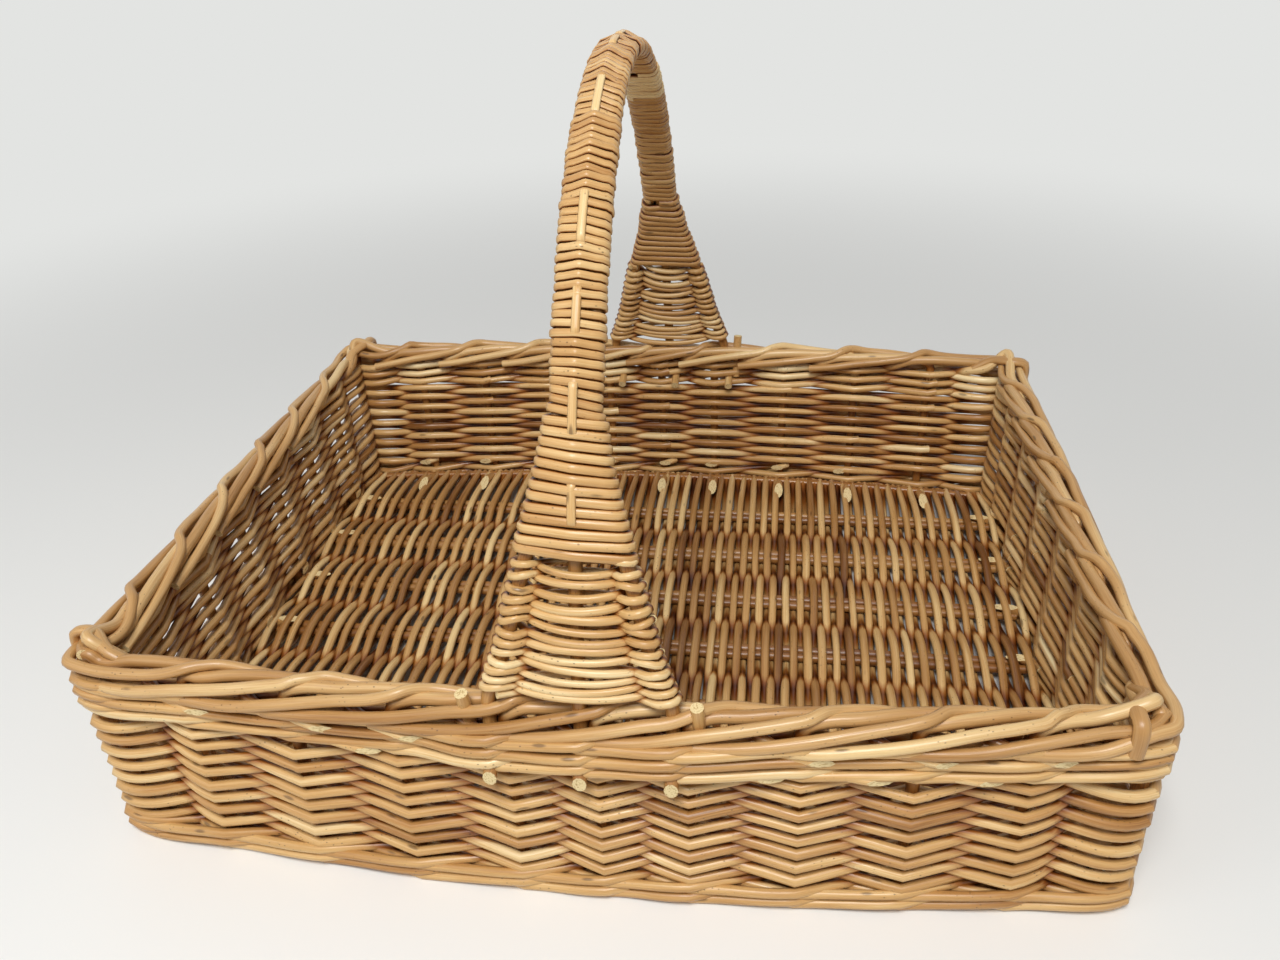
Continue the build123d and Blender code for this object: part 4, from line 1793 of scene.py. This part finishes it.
    def foot_row(self, row: int) -> list[np.ndarray]:
        """Take one row of a foot's weave across the three legs and round the last.

        Args:
            row: Number of the row.

        Returns:
            The places that it passes.
        """
        foot_crowding = 0.15
        foot_tilt = 1.2
        foot_sag = (0.4, 3.4)
        foot_stray = 0.2
        reach = (self.bow_diameter + self.foot_weaver) / 2
        room = self.foot_end - self.foot_start
        share = row / self.foot_rows
        crowded = 1 - foot_crowding + foot_crowding * share
        start = self.foot_start + room * share * crowded
        pitch = room / self.foot_rows
        side = 1 if row % 2 == 0 else -1
        tilt, sag = self.random.normal(0, foot_tilt), self.random.uniform(*foot_sag)
        points = []
        way = [(-across, out, low) for across, out, low in self.foot_way]
        for across, out, low in way + list(reversed(self.foot_way[:-1])):
            distance = start + pitch * (across + 1) / 2 - sag * low + tilt * across * side
            points.append(self.place(distance, side * across * self.spread(distance),
                                     side * out * reach))
        distance = start + pitch
        for out, wide in self.foot_turn:
            outer = self.spread(distance) + reach * wide
            points.append(self.place(distance + self.random.normal(0, foot_stray),
                                     side * outer, side * out * reach))
        return points

    def weave_foot(self, name: str, turn: float, material: Material) -> None:
        """Weave rods to and fro round the three legs of a foot.

        Args:
            name: front or back.
            turn: 1 at the front foot, and -1 at the back one.
            material: Finish of the rods.
        """
        foot_diameters = (0.95, 1.12)
        foot_butt = 1.06
        foot_taper = 0.22
        foot_tones = (0.3, 0.13)
        foot_first_joint = 5
        foot_rod_rows = (4, 7)
        foot_step = 3.0
        mesh = RodMesh(f"handle_{name}_foot_rods", seed=self.seed + 5,
                       openness=self.foot_openness(turn))
        points: list[np.ndarray] = []
        rod_end = foot_first_joint
        for row in range(self.foot_rows):
            points += self.foot_row(row)
            if row == rod_end or row == self.foot_rows - 1:
                rod_end += int(self.random.integers(*foot_rod_rows))
                line = smooth_line(points, foot_step)[0] * np.array((turn, turn, 1))
                thinning = foot_butt - foot_taper * np.linspace(0, 1, len(line))
                thick = self.foot_weaver * self.random.uniform(*foot_diameters)
                mesh.add(Rod(line, thick * thinning, float(self.random.normal(*foot_tones))))
                points = points[-2:]
        mesh.build(material, "weaver_willow", f"handle_foot_weave_{name}")

    def stand_stubs(self, material: Material) -> None:
        """Stand two stubs in the border beside each foot, and peg the legs at the back wall.

        Args:
            material: Their finish.
        """
        stub_tone = 0.4
        stub_step = 4.0
        mesh = RodMesh("handle_stubs", sides=12, seed=self.seed + 6)
        top = self.plan.wall_top + self.stub_height
        for turn in (1, -1):
            for x in self.stub_places:
                line = [np.array((x + aside, -self.rim_half_depth + inward, top + up))
                        for aside, inward, up in self.stub_way]
                line = smooth_line(line, stub_step)[0] * np.array((turn, turn, 1))
                mesh.add(Rod(line, self.stub_diameter, stub_tone))
        end = self.plan.wall_top - self.peg_depth
        for side in (-1, 0, 1):
            x = side * self.plan.leg_pitch + self.peg_beside
            line = np.array([(x, self.rim_half_depth + out, end + up)
                             for out, up in self.peg_way])
            mesh.add(Rod(line, self.peg_diameter, stub_tone))
        mesh.build(material, "stake_willow")

    def section(self, spread: float, thickness: float,
                ridge: float) -> list[tuple[float, float, float, float]]:
        """Draw the outline of a turn of binding round the three bows.

        Args:
            spread: From the middle bow to an outer one.
            thickness: Thickness of the binding.
            ridge: How far it stands out over the middle bow.

        Returns:
            For each corner, from the middle of the inner side: its place sideways and
            outward, and the way it faces, sideways and outward.
        """
        wrap_blunt = 0.06
        reach = (self.bow_diameter + thickness) / 2
        slope = math.atan2(ridge, spread)
        corners = [(0.0, -reach, 0.0, -1.0)]
        for angle in self.wrap_angles:
            turn = math.radians(angle)
            corners.append((spread + reach * math.cos(turn), reach * math.sin(turn),
                            math.cos(turn), math.sin(turn)))
        for share in self.wrap_shares:
            lean = slope * (share > 0) - slope * (share < 0)
            top = ridge * (1 - max(abs(share), wrap_blunt))
            corners.append((spread * share, reach + top, math.sin(lean), math.cos(lean)))
        for angle in reversed(self.wrap_angles):
            turn = math.radians(angle)
            corners.append((-spread - reach * math.cos(turn), reach * math.sin(turn),
                            -math.cos(turn), math.sin(turn)))
        return corners

    def loop(self, distance: float, pitch: float, thickness: float, ridge: float,
             tilt: float) -> list[tuple[np.ndarray, np.ndarray]]:
        """Wind one turn of a binding round the three bows.

        Args:
            distance: Where along the arch the turn starts.
            pitch: How far along the arch it ends.
            thickness: Thickness of the binding.
            ridge: How far it stands out over the middle bow.
            tilt: How much farther along it lies at one side than at the middle.

        Returns:
            Places and facing ways round the turn, from the middle of the inner side.
        """
        spread = self.spread(distance)
        corners = self.section(spread, thickness, ridge)
        widths = [math.dist(first[:2], second[:2])
                  for first, second in zip(corners, corners[1:] + corners[:1])]
        run, turn = 0.0, []
        for (sideways, out, right, outer), width in zip(corners, widths):
            along = distance + pitch * run / sum(widths) + tilt * sideways / spread
            outward = unit(self.at(self.outward, along))
            turn.append((self.at(self.arch, along) + AHEAD * sideways + outward * out,
                         AHEAD * right + outward * outer))
            run += width
        return turn

    def leader_shows(self, distance: float) -> bool:
        """Whether the leader lies over the binding at a distance along the arch."""
        mirrored = min(distance, self.length - distance)
        return any(start <= mirrored <= end for start, end in self.leader_over)

    def wind(self, binding: Binding, material: Material) -> None:
        """Wind one stretch of the binding, with new skeins joined in on the way.

        Args:
            binding: The stretch.
            material: Finish of the skeins.
        """
        wrap_tones = (0.36, 0.11)
        wrap_widths = (0.95, 1.03)
        wrap_lift = 0.25
        wrap_tilt = -0.8
        tilt_stray = 0.25
        tilt_return = 0.15
        least_turns = 8
        joint_share = 0.2
        mesh = RodMesh(f"handle_{binding.name}_binding_skeins",
                       seed=self.seed + int(binding.start))
        turns = round((binding.end - binding.start) / binding.pitch)
        pitch = (binding.end - binding.start) / turns
        count, points, ways, tilt = 0, [], [], wrap_tilt
        for number in range(turns):
            distance = binding.start + pitch * number
            ridge = self.ridge_at(distance)
            if not self.leader_shows(distance + pitch):
                ridge += self.leader_thickness * self.leader_lift
            lift = self.random.normal(0, wrap_lift)
            tilt += self.random.normal(0, tilt_stray) - tilt * tilt_return
            for point, way in self.loop(distance, pitch, binding.thickness, ridge, tilt):
                points.append(point + way * lift)
                ways.append(way)
            count += 1
            joined = count >= least_turns and self.random.random() < joint_share
            if joined or number == turns - 1:
                width = pitch * self.random.uniform(*wrap_widths) / binding.thickness
                mesh.add(Rod(np.array(points), binding.thickness,
                             float(self.random.normal(*wrap_tones)),
                             unit(np.array(ways)), width, packed=True))
                count, points, ways = 0, points[-1:], ways[-1:]
        mesh.build(material, "binding_willow", f"handle_binding_{binding.name}")

    def run_leader(self, material: Material) -> None:
        """Run the leader along the ridge, over the binding here and under it there.

        Args:
            material: Its finish.
        """
        leader_tones = (0.2, 0.08)
        leader_samples = 14
        mesh = RodMesh("handle_leader_strip", seed=self.seed + 9)
        for start, end in self.leader_over:
            thickness = next(binding.thickness for binding in self.stretches
                             if start < binding.end)
            places = np.linspace(start - self.leader_tuck, end + self.leader_tuck, leader_samples)
            for distances in (places, self.length - places):
                line, ways = [], []
                for number, distance in enumerate(distances.tolist()):
                    tucked = number in (0, leader_samples - 1)
                    out = self.bow_diameter / 2 + thickness + self.ridge_at(distance) \
                        + self.leader_gap - (self.leader_sunk if tucked else 0.0)
                    line.append(self.place(distance, 0, out))
                    ways.append(unit(self.at(self.outward, distance)))
                mesh.add(Rod(np.array(line), self.leader_thickness,
                             float(self.random.normal(*leader_tones)), np.array(ways),
                             self.leader_width / self.leader_thickness))
        mesh.build(material, "binding_willow", "handle_leader")

    def build(self, bows: Material, weavers: Material, skeins: Material) -> None:
        """Build the handle.

        Args:
            bows: Finish of the bows.
            weavers: Finish of the feet's rods, the stubs and the pegs.
            skeins: Finish of the bindings and the leader.
        """
        self.bend_bows(bows)
        self.weave_foot("front", 1, weavers)
        self.weave_foot("back", -1, weavers)
        self.stand_stubs(weavers)
        for binding in self.stretches:
            self.wind(binding, skeins)
        self.run_leader(skeins)


# Surroundings

@dataclass(frozen=True)
class Lamp:
    """A square lamp, aimed at the basket.

    Attributes:
        name: Its name.
        place: Its place, in metres.
        size: Length of its side, in metres.
        power: Its power in watts.
    """

    name: str
    place: tuple[float, float, float]
    size: float
    power: float


@dataclass
class Studio:
    """The floor, the light and the camera.

    Attributes:
        image_width: Width of the picture in pixels.
        focal_pixels: Focal length in those pixels.
        sensor: Width of the camera's sensor, in millimetres.
        place: Place of the camera.
        yaw_pitch_roll: Its turn from +Y, its tilt down and its roll, in degrees.
        sight: How far the camera sees, in metres.
        floor_reach: From the middle of the floor to its sides, in metres.
        far: Distances between which the floor pales, in metres.
        lamps: The lamps.
        aim_height: Height of the point over the origin that they face, in metres.
    """

    image_width: int = 1280
    focal_pixels: float = 1026.3
    sensor: float = 36.0
    place: tuple[float, float, float] = (87.24, -577.32, 477.4)
    yaw_pitch_roll: tuple[float, float, float] = (-8.40, 30.89, -2.41)
    sight: float = 100
    floor_reach: float = 12.0
    far: tuple[float, float] = (0.42, 1.5)
    lamps: tuple[Lamp, ...] = (
        Lamp("key", place=(0.0, -1.0, 1.65), size=0.6, power=26.5),
        Lamp("fill", place=(-1.2, -0.9, 1.0), size=0.8, power=3.0))
    aim_height: float = 0.12

    def set_camera(self) -> None:
        """Set up the camera as the photograph was taken."""
        yaw, pitch, roll = (math.radians(angle) for angle in self.yaw_pitch_roll)
        forward = np.array((math.sin(yaw) * math.cos(pitch), math.cos(yaw) * math.cos(pitch),
                            -math.sin(pitch)))
        level = np.array((math.cos(yaw), -math.sin(yaw), 0.0))
        upward = np.cross(level, forward)
        right = level * math.cos(roll) + upward * math.sin(roll)
        top = upward * math.cos(roll) - level * math.sin(roll)
        data = bpy.data.cameras.new("camera")
        data.sensor_width = self.sensor
        data.lens = self.sensor * self.focal_pixels / self.image_width
        data.clip_end = self.sight
        camera = bpy.data.objects.new("camera", data)
        turn = Matrix([(right[axis], top[axis], -forward[axis]) for axis in range(3)])
        camera.matrix_world = Matrix.Translation(np.array(self.place) * MM) @ turn.to_4x4()
        bpy.context.scene.collection.objects.link(camera)
        bpy.context.scene.camera = camera

    def floor_paint(self) -> Material:
        """Mix the floor's matt white paint.

        Returns:
            A finish that is plain to the basket, and to the camera as pale as a wall behind
            it, where it is far away.
        """
        material = bpy.data.materials.new("matt white paint")
        material.use_nodes = True
        tree = material.node_tree
        tree.nodes.clear()
        near, far = self.far
        shader = add_node(tree, "ShaderNodeBsdfPrincipled", {},
                          {"Base Color": linear("efefec"), "Roughness": 0.6, "IOR": 1.5})
        pale = add_node(tree, "ShaderNodeEmission", {},
                        {"Color": linear("e3e4e2"), "Strength": 1.0})
        place = add_node(tree, "ShaderNodeNewGeometry")
        distance = add_node(tree, "ShaderNodeVectorMath", {"operation": "LENGTH"},
                            {0: place.outputs["Position"]})
        paling = add_node(tree, "ShaderNodeMapRange", {"interpolation_type": "SMOOTHSTEP"},
                          {"Value": distance.outputs["Value"], "From Min": near,
                           "From Max": far})
        path = add_node(tree, "ShaderNodeLightPath")
        share = add_node(tree, "ShaderNodeMath", {"operation": "MULTIPLY"},
                         {0: paling.outputs[0], 1: path.outputs["Is Camera Ray"]})
        both = add_node(tree, "ShaderNodeMixShader", {},
                        {0: share.outputs[0], 1: shader.outputs[0], 2: pale.outputs[0]})
        add_node(tree, "ShaderNodeOutputMaterial", {}, {"Surface": both.outputs[0]})
        return material

    def lay_floor(self) -> None:
        """Lay the pale floor."""
        reach = self.floor_reach
        mesh = bpy.data.meshes.new("floor")
        mesh.from_pydata([(-reach, -reach, 0), (reach, -reach, 0), (reach, reach, 0),
                          (-reach, reach, 0)], [], [(0, 1, 2, 3)])
        mesh.materials.append(self.floor_paint())
        floor = bpy.data.objects.new("floor", mesh)
        bpy.context.scene.collection.objects.link(floor)

    def light_room(self) -> None:
        """Set a pale room all round, paler where the camera or a gloss sees it."""
        world = bpy.data.worlds.new("pale room")
        bpy.context.scene.world = world
        world.use_nodes = True
        tree = world.node_tree
        tree.nodes.clear()
        room = add_node(tree, "ShaderNodeBackground", {},
                        {"Color": linear("f4f5f6"), "Strength": 0.31})
        seen = add_node(tree, "ShaderNodeBackground", {},
                        {"Color": linear("f2f2f2"), "Strength": 0.95})
        path = add_node(tree, "ShaderNodeLightPath")
        direct = add_node(tree, "ShaderNodeMath", {"operation": "MAXIMUM"},
                          {0: path.outputs["Is Camera Ray"], 1: path.outputs["Is Glossy Ray"]})
        direct = add_node(tree, "ShaderNodeMath", {"operation": "MAXIMUM"},
                          {0: direct.outputs[0], 1: path.outputs["Is Transmission Ray"]})
        both = add_node(tree, "ShaderNodeMixShader", {},
                        {0: direct.outputs[0], 1: room.outputs[0], 2: seen.outputs[0]})
        add_node(tree, "ShaderNodeOutputWorld", {}, {"Surface": both.outputs[0]})

    def hang_lamp(self, lamp: Lamp) -> None:
        """Hang a lamp and turn it to the basket.

        Args:
            lamp: The lamp.
        """
        data = bpy.data.lights.new(lamp.name, "AREA")
        data.size = lamp.size
        data.energy = lamp.power
        light = bpy.data.objects.new(lamp.name, data)
        light.location = lamp.place
        aim = -light.location.copy()
        aim.z += self.aim_height
        light.rotation_mode = "QUATERNION"
        light.rotation_quaternion = aim.to_track_quat("-Z", "Y")
        bpy.context.scene.collection.objects.link(light)

    def build(self) -> None:
        """Build the camera, the floor and the light."""
        self.set_camera()
        self.lay_floor()
        self.light_room()
        for lamp in self.lamps:
            self.hang_lamp(lamp)
        bpy.context.scene.view_settings.view_transform = "Standard"


def main() -> None:
    """Build the dressed basket and its surroundings."""
    logging.basicConfig(level=logging.INFO, format="%(message)s")
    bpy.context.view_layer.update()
    Studio().build()
    weavers = BuffWillow("buff willow weavers, boiled and stripped").make()
    thick = BuffWillow("buff willow border rods, boiled and stripped",
                       tones=("e3c38b", "c59a62", "a4753f", "6d421a")).make()
    stakes = BuffWillow("buff willow stakes, boiled and stripped",
                        tones=("d4a86a", "b5854a", "93602c", "6a3d17")).make()
    base = BuffWillow("buff willow base rods, boiled and stripped",
                      tones=("e6c68c", "c4985d", "9f703c", "6f441d")).make()
    # The skeins' painted shade reaches farther out over each turn.
    skeins = BuffWillow("split buff willow skein, planed and smooth", shade_reach=0.6,
                        tones=("ebcf98", "cfa469", "b07e45", "7c4d20"), roughness=0.32).make()
    plan = Plan()
    Walls(plan).build(weavers, stakes)
    Border(plan).build(thick)
    Base(plan).build(stakes, base)
    Handle(plan).build(stakes, weavers, skeins)


if __name__ == "__main__":
    main()
